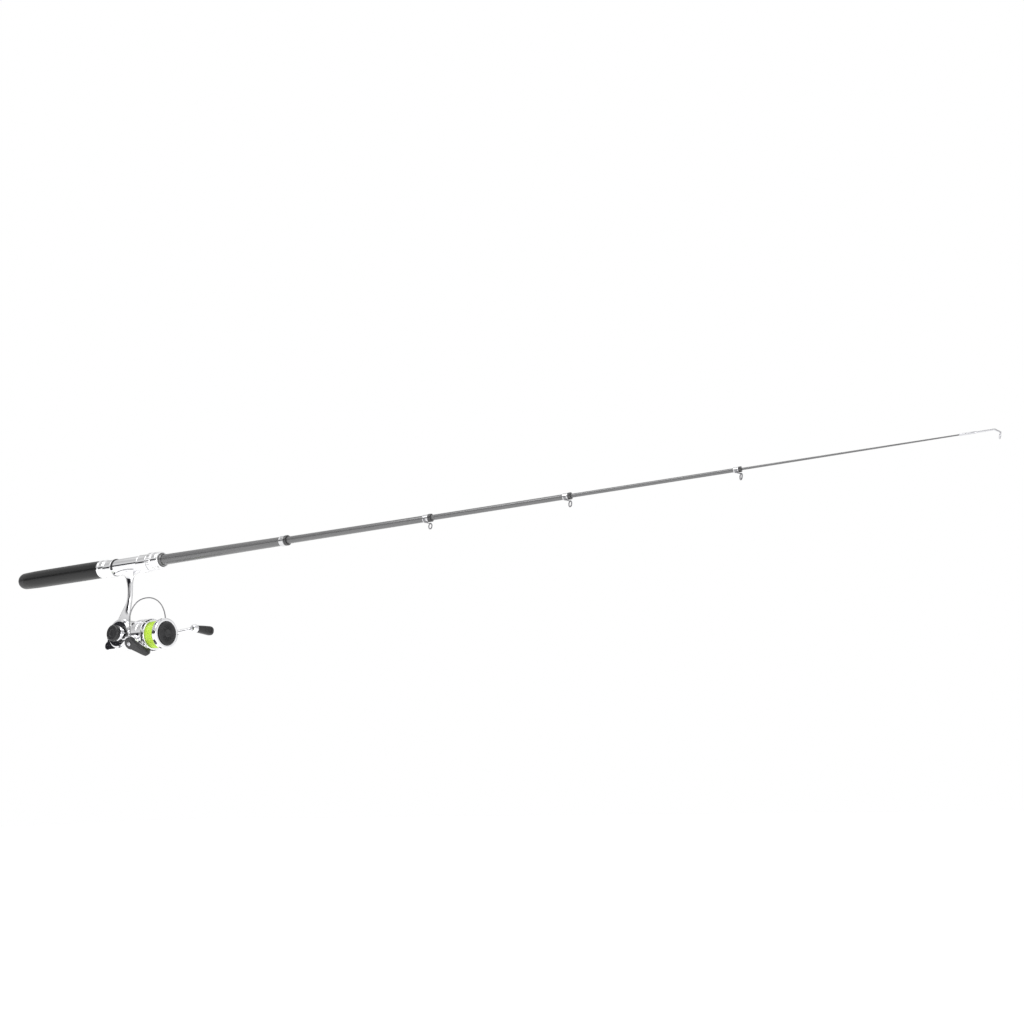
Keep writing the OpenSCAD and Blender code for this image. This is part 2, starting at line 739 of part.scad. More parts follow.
module bail_wire() {
    mid_h = wire_h - wire_near_r;
    top = wire_leg + wire_near_r;
    far_y = top - wire_far_r;
    far_h = mid_h - wire_far_r;
    // In this frame +X is the near side, +Y leads from the pivots to the crown of the arch
    color(steel) on_rotor() translate([pivot_x, 0, 0])
        multmatrix([[0, cos(wire_lean), -sin(wire_lean), 0], [-1, 0, 0, 0], [0, sin(wire_lean), cos(wire_lean), 0]]) {
        translate([wire_h, lever_disc_r - 0.5, 0]) rotate([-90, 0, 0])
            cylinder(h = wire_leg - lever_disc_r + 0.5, r = wire_r, $fn = 16);
        wire_arc(mid_h, wire_leg, wire_near_r, 0, 90);
        wire_arc(mid_h, far_y, wire_far_r, 90, 90);
        wire_arc(far_h + wire_hook_r, far_y, wire_hook_r, 180, 90);
        translate([far_h + wire_hook_r, far_y - wire_hook_r, 0]) rotate([0, 90, 0])
            cylinder(h = -lever_h1 + 0.8 - far_h - wire_hook_r, r = wire_r, $fn = 16);
    }
}

// Spool and drag

module spool() {
    color(chrome) on_spool_axis() difference() {
        turned([[rear_x, main_r + running], [rear_x, rear_flange_r - 0.4], [rear_x + 0.4, rear_flange_r],
            [line_x - 0.3, rear_flange_r], [line_x, rear_flange_r - 0.3], [line_x, arbor_r], [rim_x, arbor_r],
            [rim_x, flange_r - 0.6], [rim_x + 0.6, flange_r], [spool_face_x - 0.8, flange_r],
            [spool_face_x, flange_r - 0.9], [spool_face_x, cup_r], [spool_face_x - cup_depth, cup_r],
            [spool_face_x - cup_depth, 5.2], [rim_x + 0.4, 5.2], [rim_x + 0.4, main_r + running]]);
        rod_x(rear_x - 1, rear_x + 6, 6);
        for (i = [0:slots - 1]) rotate([(i + 0.5) * 360 / slots, 0, 0])
            translate([rim_x + 1.7, -1.9, flange_r - 1]) cube([2.1, 3.8, 3]);
    }
}

module line() {
    color([0.78, 0.95, 0.2]) on_spool_axis() turned([[line_x, arbor_r], [line_x, line_r - 0.25],
        [line_x + 0.5, line_r], [rim_x - 0.5, line_r], [rim_x, line_r - 0.25], [rim_x, arbor_r]]);
}

module drag_washers() {
    color([0.35, 0.22, 0.15]) on_spool_axis() for (i = [0:1])
        tube_x(rim_x + 0.45 + i * 0.45, rim_x + 0.85 + i * 0.45, 5, main_r + running);
}

module drag_knob() {
    x0 = spool_face_x - cup_depth + 0.3;
    x1 = spool_face_x + 1.4;
    color(black) on_spool_axis() difference() {
        turned([[x0, main_r + running], [x0, cup_r - 0.9], [spool_face_x - 1.5, cup_r - 0.3],
            [x1 - 0.5, cup_r - 0.3], [x1, cup_r - 0.9], [x1, 3], [x1 - 0.4, 2.6], [x1 - 0.4, 0],
            [spool_face_x - 0.9, 0], [spool_face_x - 0.9, main_r + running]]);
        for (i = [0:knurls - 1]) rotate([i * 360 / knurls, 0, 0])
            translate([x1 - 0.35, -0.28, 4]) cube([1, 0.56, cup_r - 5.6]);
    }
}

// Crank

socket_end = hub_mid + (knuckle - hub_mid) * socket_part;

module crank_hub() {
    color(black) difference() {
        union() {
            rod_y(boss_y + 0.3, hub_mid[1] + 4, 4.6);
            bar(hub_mid, socket_end, 3.4, 2.7);
        }
        rod_y(boss_y - 1, hub_mid[1] + 2, crank_r);
        bar(hub_mid + (knuckle - hub_mid) * 0.3, knuckle, arm_r, arm_r);
    }
}

module crank_arm() {
    color(chrome) {
        bar(hub_mid + (knuckle - hub_mid) * 0.3, knuckle, arm_r, arm_r);
        difference() {
            translate(knuckle - [0, 3.2, 0]) rotate([-90, 0, 0]) turned_boss();
            translate(knuckle + [0, 3.21, 0]) rotate([-90, 0, 0]) cylinder(h = 4, r = 3.6);
        }
        translate(knuckle + [0, 3, 0]) rotate([-90, 0, 0]) cylinder(h = knob_l - 2, r = 1.2);
    }
}

module turned_boss() {
    rotate_extrude() polygon([[0, 0], [2.6, 0], [3.7, 0.9], [4.1, 2.2], [4.1, 4.6], [3.7, 5.8], [3.2, 6.4], [0, 6.4]]);
}

module crank_knob() {
    color(black) translate(knuckle + [0, 3.5, 0]) rotate([-90, 0, 0]) difference() {
        intersection() {
            rotate_extrude() polygon([[0, 0], [3, 0], [3.5, 0.6], [4, 6], [4.5, 14], [4.6, knob_l - 3],
                [4.2, knob_l - 1], [3.2, knob_l], [0, knob_l]]);
            translate([-3.3, -5, -1]) cube([6.6, 10, knob_l + 2]);
        }
        translate([0, 0, -1]) cylinder(h = knob_l - 1, r = 1.2 + running);
        for (side = [-1, 1]) translate([side * 3.3 - 0.35, -2.2, 8]) cube([0.7, 4.4, knob_l - 11]);
    }
}

module shaft_cap() {
    y1 = -housing_y - 3.3;
    color(black) difference() {
        union() {
            rod_y(y1 - 3.6, y1, 8, 64);
            rod_y(y1 - 4.4, y1 - 3.5, 7.2, 64);
            rod_y(y1 - 0.1, y1 + 1.4, 4.2);
        }
        for (i = [0:knurls - 1]) translate([gear_x, y1 - 6, gear_z]) rotate([0, i * 360 / knurls, 0])
            translate([8.15, 0, 0]) rotate([-90, 0, 0]) cylinder(h = 8, r = 0.4, $fn = 16);
        rod_y(y1 - 6, y1 - 4, 3.2);
    }
}

butt_cap();
grip();
handle_tube();
seat_sleeve();
rear_collar();
fixed_hood();
seat_ring();
sliding_hood();
lock_nut();
front_ferrule();
section_1();
section_2();
section_3();
section_4();
tip_rod();
ferrule_1();
ferrule_2();
ferrule_3();
ferrule_4();
winding_1();
winding_2();
winding_3();
winding_4();
guide_1();
guide_2();
guide_3();
tip_top();
reel_foot();
gear_housing();
side_cover();
cover_screws();
shaft_bearings();
pinion_bearing();
drive_gear();
crank_shaft();
oscillation_gear();
slider();
main_shaft();
pinion();
ratchet_wheel();
reverse_lever();
rotor();
rotor_nut();
bail_screws();
bail_lever();
bail_holder();
bail_spring();
bail_wire();
line_roller();
spool();
line();
drag_washers();
drag_knob();
crank_hub();
crank_arm();
crank_knob();
shaft_cap();
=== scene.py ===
import json
import math

import bmesh
import bpy
from mathutils import Matrix, Vector


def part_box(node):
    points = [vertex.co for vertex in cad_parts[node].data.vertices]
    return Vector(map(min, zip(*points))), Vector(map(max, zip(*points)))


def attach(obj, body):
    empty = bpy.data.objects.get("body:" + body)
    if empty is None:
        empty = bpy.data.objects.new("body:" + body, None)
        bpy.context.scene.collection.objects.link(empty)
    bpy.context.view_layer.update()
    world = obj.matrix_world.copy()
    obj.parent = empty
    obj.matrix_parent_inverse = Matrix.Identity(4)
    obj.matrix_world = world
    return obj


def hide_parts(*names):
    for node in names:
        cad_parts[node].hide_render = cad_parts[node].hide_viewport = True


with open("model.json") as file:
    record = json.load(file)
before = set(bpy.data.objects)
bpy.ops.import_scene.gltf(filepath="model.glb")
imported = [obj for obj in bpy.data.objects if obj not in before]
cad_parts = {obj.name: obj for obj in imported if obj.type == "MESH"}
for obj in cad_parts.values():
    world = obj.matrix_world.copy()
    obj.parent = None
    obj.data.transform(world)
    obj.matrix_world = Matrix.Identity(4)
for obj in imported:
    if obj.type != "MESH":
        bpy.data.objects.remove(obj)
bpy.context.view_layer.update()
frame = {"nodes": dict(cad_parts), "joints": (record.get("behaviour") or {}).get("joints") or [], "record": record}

# Lengths below are in millimetres and become metres as each mesh is made.
MM = 0.001
BODY_OF = {node: body for body, nodes in frame["record"]["behaviour"]["bodies"].items() for node in nodes}


def span(node):
    """Lowest and highest corner of a CAD node, in millimetres."""
    low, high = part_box(node)
    return low / MM, high / MM


# ---------------------------------------------------------------- meshes

def blended(corners, closed=False, steps=5):
    """An outline in which each (x, r, reach) corner turns into a short curve that starts reach before it."""
    outline = []
    count = len(corners)
    for i, corner in enumerate(corners):
        here = Vector(corner[:2])
        if len(corner) == 2 or not closed and i in (0, count - 1):
            outline.append(tuple(here))
            continue
        before = Vector(corners[i - 1][:2]) - here
        after = Vector(corners[(i + 1) % count][:2]) - here
        reach = min(corner[2], before.length * 0.49, after.length * 0.49)
        start = here + before.normalized() * reach
        end = here + after.normalized() * reach
        for k in range(steps + 1):
            t = k / steps
            outline.append(tuple(start * (1 - t) ** 2 + here * 2 * t * (1 - t) + end * t ** 2))
    return outline


def lathe(outline, segments=96, closed=False, wave=None, arc=None):
    """A surface turned about X from (x, radius) points. Angle 0 points down, and wave adds to the radius."""
    bm = bmesh.new()
    start, end = arc or (0, math.tau)
    columns = segments + 1 if arc else segments
    rings = []
    for x, r in outline:
        if r < 1e-4:
            rings.append([bm.verts.new((x * MM, 0, 0))])
            continue
        ring = []
        for k in range(columns):
            angle = start + (end - start) * k / segments
            radius = (r + (wave(x, angle) if wave else 0)) * MM
            ring.append(bm.verts.new((x * MM, -radius * math.sin(angle), -radius * math.cos(angle))))
        rings.append(ring)
    following = rings[1:] + rings[:1] if closed else rings[1:]
    for one, two in zip(rings, following):
        for k in range(segments):
            n = (k + 1) % columns
            corners = [one[k % len(one)], one[n % len(one)], two[n % len(two)], two[k % len(two)]]
            corners = list(dict.fromkeys(corners))
            if len(corners) > 2:
                bm.faces.new(corners)
    if arc:
        bm.faces.new([ring[0] for ring in rings])
        bm.faces.new([ring[-1] for ring in rings])
    bmesh.ops.recalc_face_normals(bm, faces=bm.faces)
    return bm


def tube(points, radius, sides=16):
    """A round wire through the points, with a radius of one number or a function of 0 to 1 along it."""
    bm = bmesh.new()
    points = [Vector(p) for p in points]
    side = Vector((0, 0, 1))
    rings = []
    for i, p in enumerate(points):
        along = (points[min(i + 1, len(points) - 1)] - points[max(i - 1, 0)]).normalized()
        side = side - along * side.dot(along)
        if side.length < 1e-3:
            side = along.orthogonal()
        side.normalize()
        other = along.cross(side)
        r = radius(i / (len(points) - 1)) if callable(radius) else radius
        ring = []
        for k in range(sides):
            a = math.tau * k / sides
            ring.append(bm.verts.new((p + (side * math.cos(a) + other * math.sin(a)) * r) * MM))
        rings.append(ring)
    return skinned(bm, rings)


def skinned(bm, rings):
    """Faces from each ring of corners to the next, and over both ends."""
    around = len(rings[0])
    for one, two in zip(rings, rings[1:]):
        for k in range(around):
            n = (k + 1) % around
            bm.faces.new((one[k], one[n], two[n], two[k]))
    bm.faces.new(rings[0])
    bm.faces.new(rings[-1])
    bmesh.ops.recalc_face_normals(bm, faces=bm.faces)
    return bm


def circle(r, sides, centre=0.0):
    """The corners of a circle in XY, moved along X."""
    return [(centre + r * math.cos(math.tau * k / sides), r * math.sin(math.tau * k / sides)) for k in range(sides)]


def plate(outline, low, high, edge=0.4, steps=3):
    """A flat outline in XY, thick from low to high along Z, with rounded rims."""
    bm = bmesh.new()
    face = bm.faces.new([bm.verts.new((x * MM, y * MM, low * MM)) for x, y in outline])
    made = bmesh.ops.extrude_face_region(bm, geom=[face])
    upper = [v for v in made["geom"] if isinstance(v, bmesh.types.BMVert)]
    bmesh.ops.translate(bm, vec=(0, 0, (high - low) * MM), verts=upper)
    bmesh.ops.recalc_face_normals(bm, faces=bm.faces)
    if edge:
        rims = [e for e in bm.edges if abs(e.verts[0].co.z - e.verts[1].co.z) < 1e-7]
        bmesh.ops.bevel(bm, geom=rims, offset=edge * MM, segments=steps, profile=0.5, affect="EDGES")
    return bm


def ball(centre, radius, rows=24):
    """A turned ball, used where rods and castings meet."""
    outline = [(-radius * math.cos(math.pi * k / rows), radius * math.sin(math.pi * k / rows))
               for k in range(rows + 1)]
    bm = lathe(outline, 48)
    bm.transform(Matrix.Translation(Vector(centre) * MM))
    return bm


def joined(*parts):
    """One mesh of several."""
    whole = bmesh.new()
    for part in parts:
        mesh = bpy.data.meshes.new("part")
        part.to_mesh(mesh)
        whole.from_mesh(mesh)
        bpy.data.meshes.remove(mesh)
    return whole


def modified(bm, *modifiers):
    """The mesh after a list of (type, settings) modifiers."""
    mesh = bpy.data.meshes.new("work")
    bm.to_mesh(mesh)
    work = bpy.data.objects.new("work", mesh)
    bpy.context.scene.collection.objects.link(work)
    for kind, settings in modifiers:
        modifier = work.modifiers.new(kind, kind)
        for key, value in settings.items():
            setattr(modifier, key, value)
    shaped = work.evaluated_get(bpy.context.evaluated_depsgraph_get())
    result = bmesh.new()
    result.from_mesh(shaped.to_mesh())
    bpy.data.objects.remove(work)
    bpy.data.meshes.remove(mesh)
    return result


def cut(bm, *cutters):
    """The mesh less the cutters."""
    mesh = bpy.data.meshes.new("cutter")
    joined(*cutters).to_mesh(mesh)
    cutter = bpy.data.objects.new("cutter", mesh)
    bpy.context.scene.collection.objects.link(cutter)
    result = modified(bm, ("BOOLEAN", {"object": cutter, "operation": "DIFFERENCE", "solver": "EXACT",
                                       "use_self": True}))
    bpy.data.objects.remove(cutter)
    bpy.data.meshes.remove(mesh)
    return result


def cast(bm, grain=0.25, rounds=8):
    """Overlapping solids run together into one casting with soft inner and outer corners."""
    return modified(bm, ("REMESH", {"mode": "VOXEL", "voxel_size": grain * MM, "use_smooth_shade": True}),
                    ("SMOOTH", {"factor": 0.5, "iterations": rounds}))


def piece(name, bm, finish, slot, *nodes, place=None, sharp=0.6):
    """A finished mesh that stands for the CAD nodes and rides on their body."""
    if place is not None:
        bm.transform(place)
    for face in bm.faces:
        face.smooth = True
    for line in bm.edges:
        line.smooth = len(line.link_faces) != 2 or line.calc_face_angle(0) < sharp
    mesh = bpy.data.meshes.new(name)
    bm.to_mesh(mesh)
    bm.free()
    mesh.materials.append(finish)
    made = bpy.data.objects.new(name, mesh)
    bpy.context.scene.collection.objects.link(made)
    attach(made, BODY_OF[nodes[0]])
    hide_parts(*nodes)
    return made


# ------------------------------------------------------------- materials

def finish(name, colour, other, rough, rough_other, grain, stretch=(1, 1, 1), metallic=0.0, bump=0.1,
           depth=0.02, fine=None, coat=0.0, coat_rough=0.05, wear=0.0, worn=(0.3, 0.3, 0.3), specular=0.5):
    """A surface whose colour, roughness and relief vary with noise at grain features per metre."""
    material = bpy.data.materials.new(name)
    material.use_nodes = True
    tree = material.node_tree
    shader = tree.nodes["Principled BSDF"]
    shader.inputs["Metallic"].default_value = metallic
    shader.inputs["Coat Weight"].default_value = coat
    shader.inputs["Coat Roughness"].default_value = coat_rough
    shader.inputs["Specular IOR Level"].default_value = specular
    place = tree.nodes.new("ShaderNodeTexCoord")
    mapping = tree.nodes.new("ShaderNodeMapping")
    mapping.inputs["Scale"].default_value = stretch
    tree.links.new(place.outputs["Object"], mapping.inputs["Vector"])
    broad = tree.nodes.new("ShaderNodeTexNoise")
    broad.inputs["Scale"].default_value = grain
    broad.inputs["Detail"].default_value = 6
    tree.links.new(mapping.outputs["Vector"], broad.inputs["Vector"])
    mix = tree.nodes.new("ShaderNodeMix")
    mix.data_type = "RGBA"
    mix.inputs["A"].default_value = (*colour, 1)
    mix.inputs["B"].default_value = (*other, 1)
    tree.links.new(broad.outputs["Fac"], mix.inputs["Factor"])
    colour_out = mix.outputs["Result"]
    if wear:
        shape = tree.nodes.new("ShaderNodeNewGeometry")
        edges = tree.nodes.new("ShaderNodeMapRange")
        edges.inputs["From Min"].default_value = 0.52
        edges.inputs["From Max"].default_value = 0.62
        edges.inputs["To Max"].default_value = wear
        tree.links.new(shape.outputs["Pointiness"], edges.inputs["Value"])
        patch = tree.nodes.new("ShaderNodeMath")
        patch.operation = "MULTIPLY"
        tree.links.new(edges.outputs["Result"], patch.inputs[0])
        tree.links.new(broad.outputs["Fac"], patch.inputs[1])
        rub = tree.nodes.new("ShaderNodeMix")
        rub.data_type = "RGBA"
        rub.inputs["B"].default_value = (*worn, 1)
        tree.links.new(patch.outputs["Value"], rub.inputs["Factor"])
        tree.links.new(colour_out, rub.inputs["A"])
        colour_out = rub.outputs["Result"]
    tree.links.new(colour_out, shader.inputs["Base Color"])
    small = tree.nodes.new("ShaderNodeTexNoise")
    small.inputs["Scale"].default_value = fine or grain * 6
    small.inputs["Detail"].default_value = 4
    tree.links.new(mapping.outputs["Vector"], small.inputs["Vector"])
    spread = tree.nodes.new("ShaderNodeMapRange")
    spread.inputs["From Min"].default_value = 0.3
    spread.inputs["From Max"].default_value = 0.7
    spread.inputs["To Min"].default_value = rough
    spread.inputs["To Max"].default_value = rough_other
    tree.links.new(small.outputs["Fac"], spread.inputs["Value"])
    tree.links.new(spread.outputs["Result"], shader.inputs["Roughness"])
    relief = tree.nodes.new("ShaderNodeBump")
    relief.inputs["Strength"].default_value = bump
    relief.inputs["Distance"].default_value = depth * MM
    tree.links.new(small.outputs["Fac"], relief.inputs["Height"])
    tree.links.new(relief.outputs["Normal"], shader.inputs["Normal"])
    return material


GRIP = finish("grip_paint", (0.003, 0.003, 0.0032), (0.007, 0.007, 0.0075), 0.26, 0.38, 160, bump=0.25,
              depth=0.02, fine=3800, wear=0.25, worn=(0.07, 0.07, 0.07), specular=0.35)
BLACK = finish("black_plastic", (0.008, 0.008, 0.009), (0.018, 0.018, 0.02), 0.28, 0.45, 240, bump=0.35,
               depth=0.03, fine=2600, wear=0.4, worn=(0.1, 0.1, 0.1))
CHROME_SEAT = finish("chrome_seat", (0.83, 0.83, 0.84), (0.9, 0.9, 0.91), 0.07, 0.16, 220, (0.25, 1, 1), 1.0,
                     bump=0.05, depth=0.02, fine=1500)
CHROME_REEL = finish("chrome_reel", (0.8, 0.8, 0.82), (0.9, 0.9, 0.91), 0.04, 0.12, 160, metallic=1.0,
                     bump=0.12, depth=0.05, fine=420)
BLANK = finish("blank_graphite", (0.12, 0.12, 0.122), (0.17, 0.17, 0.173), 0.24, 0.34, 900, (0.06, 1, 1),
               0.45, bump=0.12, depth=0.02, coat=0.3, coat_rough=0.16)
RING = finish("polished_ring", (0.5, 0.5, 0.51), (0.7, 0.7, 0.71), 0.12, 0.22, 500, (6, 1, 1), 1.0,
              bump=0.08, depth=0.01)
WINDING = finish("lacquered_winding", (0.006, 0.006, 0.007), (0.014, 0.014, 0.016), 0.35, 0.5, 900,
                 coat=1.0, coat_rough=0.06, bump=0.2, depth=0.02)
GUIDE = finish("guide_steel", (0.16, 0.16, 0.17), (0.3, 0.3, 0.31), 0.15, 0.28, 700, metallic=1.0, bump=0.08,
               depth=0.01)
STEEL = finish("steel", (0.5, 0.5, 0.52), (0.64, 0.64, 0.66), 0.12, 0.26, 600, metallic=1.0, bump=0.1,
               depth=0.01)
BRASS = finish("brass_gear", (0.55, 0.4, 0.18), (0.7, 0.54, 0.28), 0.2, 0.35, 500, metallic=1.0, bump=0.15,
               depth=0.01)
NYLON = finish("nylon", (0.72, 0.71, 0.66), (0.82, 0.81, 0.77), 0.35, 0.5, 300, bump=0.1)
LINE = finish("yellow_line", (0.42, 0.66, 0.03), (0.62, 0.84, 0.09), 0.2, 0.34, 420, coat=0.3,
              bump=0.1, depth=0.02)
FELT = finish("drag_felt", (0.16, 0.09, 0.05), (0.26, 0.16, 0.1), 0.8, 0.95, 1200, bump=0.6, depth=0.05)

# Each CAD node that stays visible, or is seen when the reel is opened, with its finish.
KEPT = {
    "handle_tube": BLANK, "shaft_bearings": STEEL, "pinion_bearing": STEEL, "drive_gear": BRASS,
    "crank_shaft": STEEL, "oscillation_gear": NYLON, "slider": NYLON, "main_shaft": STEEL, "pinion": BRASS,
    "ratchet_wheel": STEEL, "rotor_nut": STEEL, "bail_spring": STEEL, "drag_washers": FELT,
}
for node, material in KEPT.items():
    slots = frame["nodes"][node].material_slots
    for entry in slots:
        entry.material = material

# ---------------------------------------------------------------- handle

def handle():
    low, high = span("grip")
    r = high.y
    end_r = r - 0.3
    swell = 12
    grip = blended([(low.x, 7, 0), (low.x, end_r - 0.05, 0.3), (low.x + swell, r, 6),
                    (high.x - 22, r, 8), (high.x - 0.5, r - 0.2, 0.5), (high.x, r - 0.6, 0.2), (high.x, 7, 0)])
    piece("grip_sleeve", lathe(grip, 128), GRIP, "grip_black", "grip")

    cap_end = low.x
    dish = blended([(0.9, 0), (0.9, 2.6, 0.5), (0.1, 3.6, 0.4), (0, 5, 0.6), (0.6, 7, 1.6), (3.4, end_r - 0.3, 2),
                    (cap_end, end_r - 0.05, 0.25), (cap_end, 5.9, 0.1), (span("butt_cap")[1].x, 5.9, 0.3),
                    (span("butt_cap")[1].x, 0)])
    piece("butt_end_cap", lathe(dish, 128), BLACK, "black_plastic", "butt_cap")

    low, high = span("seat_sleeve")
    sleeve = blended([(low.x, 6.95, 0.1), (low.x, high.y, 0.2), (high.x, high.y, 0.4), (high.x, 6.95, 0.1)], True)
    piece("seat_tube", lathe(sleeve, 128, True), CHROME_SEAT, "chrome_seat", "seat_sleeve")

    low, high = span("rear_collar")
    rim = high.y
    collar = blended([(low.x, 7.55, 0), (low.x, rim - 0.2, 0.35), (low.x + 1.7, rim, 0.5), (low.x + 2.1, 8.6, 0.2),
                      (low.x + 2.7, 8.75, 0.3), (high.x - 1.5, 8.8, 0.3), (high.x, 8.25, 0.4), (high.x, 7.55, 0)])
    piece("seat_collar", lathe(collar, 128), CHROME_SEAT, "chrome_seat", "rear_collar")

    for name, node, mouth_first in (("rear_hood", "fixed_hood", False), ("front_hood", "sliding_hood", True)):
        low, high = span(node)
        hood(name, node, low, high, mouth_first)

    low, high = span("seat_ring")
    gap = math.radians(58)
    band = blended([(low.x, 7.55, 0.05), (low.x, high.y, 0.3), (high.x, high.y, 0.3), (high.x, 7.55, 0.05)], True)
    piece("slit_ring", lathe(band, 96, True, arc=(gap, math.tau - gap)), BLACK, "black_plastic", "seat_ring")

    low, high = span("lock_nut")
    nut(low.x, high.x)

    low, high = span("front_ferrule")
    bore = 5.46
    bulge = blended([(low.x, bore, 0), (low.x, 5.95, 0.1), (low.x + 8, 5.95, 0), (low.x + 8, high.y - 0.25, 0.2),
                     (low.x + 9.5, high.y, 0.6), (high.x - 1.6, high.y - 0.1, 0.8), (high.x, 5.7, 0.5),
                     (high.x, bore, 0)])
    piece("rod_ferrule", lathe(bulge, 128), BLANK, "blank_grey", "front_ferrule")


def hood(name, node, low, high, mouth_first):
    """A ring hung a little low on the seat, with a pocket for the foot's tab under it."""
    middle = (low.z + high.z) / 2
    r = (high.z - low.z) / 2
    shell = blended([(low.x, 0), (low.x, r, 0.6), (low.x + 1.1, r, 0.3), (low.x + 1.5, r - 0.18, 0.2),
                     (high.x - 1.5, r - 0.18, 0.2), (high.x - 1.1, r, 0.3), (high.x, r, 0.6), (high.x, 0)])
    body = lathe(shell, 128)
    body.transform(Matrix.Translation((0, 0, middle * MM)))
    bore = lathe([(low.x - 1, 0), (low.x - 1, 7.54), (high.x + 1, 7.54), (high.x + 1, 0)], 128)
    reach = 8.5
    x0, x1 = (low.x - 1, low.x + reach) if mouth_first else (high.x - reach, high.x + 1)
    pocket = lathe([(x0, 7), (x0, 9.2), (x1, 9.2), (x1, 7)], 40, True, arc=(-0.47, 0.47))
    piece(name, cut(body, bore, pocket), CHROME_SEAT, "chrome_seat", node)


def nut(x0, x1):
    """Knurled grip ring, neck and smooth collar, on the seat's thread."""
    ridge = x0 + 5.8
    count = 24

    def knurl(x, angle):
        if not x0 + 0.3 < x < ridge - 0.3:
            return 0
        return -0.34 * max(0.0, math.cos(count * angle)) ** 3

    steps = 6
    teeth = [(x0 + 0.5 + (ridge - x0 - 1) * k / steps, 8.8) for k in range(steps + 1)]
    outline = [(x0, 7.6), (x0, 8.3), (x0 + 0.2, 8.6), *teeth, (ridge - 0.2, 8.55), (ridge, 8.15)]
    outline += blended([(ridge, 8.15, 0), (ridge + 0.6, 7.9, 0.4), (ridge + 1.4, 8.35, 0.4), (x1 - 3.2, 8.4, 0.3),
                        (x1 - 2.8, 8.2, 0.2), (x1 - 2.3, 8.35, 0.2), (x1 - 0.8, 8.2, 0.6), (x1, 7.2, 0.5),
                        (x1, 6.82, 0.1), (x1 - 2.2, 6.82, 0), (x1 - 2.2, 7.6, 0)])[1:]
    piece("seat_nut", lathe(outline, count * 12, True, knurl), CHROME_SEAT, "chrome_seat", "lock_nut", sharp=0.8)


# ------------------------------------------------------------------- rod

def radius_at(node, share):
    """Radius of a tapered CAD tube at 0, its rear, or 1, its front, in millimetres."""
    corners = [v.co / MM for v in frame["nodes"][node].data.vertices]
    ends = min(c.x for c in corners), max(c.x for c in corners)
    at = [math.hypot(c.y, c.z) for c in corners if abs(c.x - ends[share]) < 0.2]
    return max(at)


def rod():
    for i in range(1, 5):
        low, high = span(f"section_{i}")
        r0, r1 = radius_at(f"section_{i}", 0), radius_at(f"section_{i}", 1)
        bore = radius_at(f"section_{i + 1}", 0) if i < 4 else radius_at("tip_rod", 0)
        wall = max(r0 - 0.55, bore + 0.04)
        skin = blended([(low.x, wall, 0.1), (low.x, r0, 0.15), (high.x, r1, 0.1), (high.x, bore + 0.05, 0.1)], True)
        piece(f"blank_{i}", lathe(skin, 96, True), BLANK, "blank_grey", f"section_{i}")
        ring(i)
        thread(i)
    low, high = span("tip_rod")
    r0, r1 = radius_at("tip_rod", 0), radius_at("tip_rod", 1)
    solid = blended([(low.x, 0), (low.x, r0, 0.2), (high.x, r1, 0.1), (high.x, 0)])
    piece("tip_blank", lathe(solid, 64), BLANK, "blank_grey", "tip_rod")
    for k in range(1, 4):
        guide(k)
    tip()


def ring(i):
    """The polished ring, with a bead at each end."""
    low, high = span(f"ferrule_{i}")
    r = high.y
    inner = radius_at(f"section_{i}", 1)
    mid = (low.x + high.x) / 2
    outline = blended([(low.x, inner, 0), (low.x, r - 0.02, 0.15), (low.x + 0.7, r, 0.1), (low.x + 0.9, r - 0.12, 0.1),
                       (mid, r - 0.08, 0.1), (high.x - 0.9, r - 0.12, 0.1), (high.x - 0.7, r, 0.1),
                       (high.x, r - 0.02, 0.15), (high.x, inner, 0)], True)
    piece(f"polished_ring_{i}", lathe(outline, 96, True), RING, "ring_silver", f"ferrule_{i}")


def thread(i):
    """The end winding: turns of thread under lacquer."""
    low, high = span(f"winding_{i}")
    r = high.y
    turns = round((high.x - low.x) / 0.26)
    outline = [(low.x, radius_at(f"section_{i}", 1) - 0.02)]
    for k in range(turns * 4 + 1):
        share = k / (turns * 4)
        ends = min(1, 6 * share, 6 * (1 - share)) ** 0.5
        x = low.x + (high.x - low.x) * share
        outline.append((x, r - 0.22 + 0.16 * ends + 0.05 * abs(math.sin(math.pi * k / 4))))
    bore = radius_at(f"section_{i + 1}", 0) if i < 4 else radius_at("tip_rod", 0)
    outline += [(high.x, bore + 0.06), (high.x - 0.4, bore + 0.06)]
    piece(f"thread_winding_{i}", lathe(outline, 96, True), WINDING, "winding_black", f"winding_{i}")


def torus(centre, r, wire, tilt):
    """A round ring about an axis that leans tilt degrees from X."""
    outline = [(wire * math.sin(math.tau * k / 20), r + wire * math.cos(math.tau * k / 20)) for k in range(20)]
    bm = lathe(outline, 72, True)
    bm.transform(Matrix.Translation(Vector(centre) * MM) @ Matrix.Rotation(math.radians(tilt), 4, "Y"))
    return bm


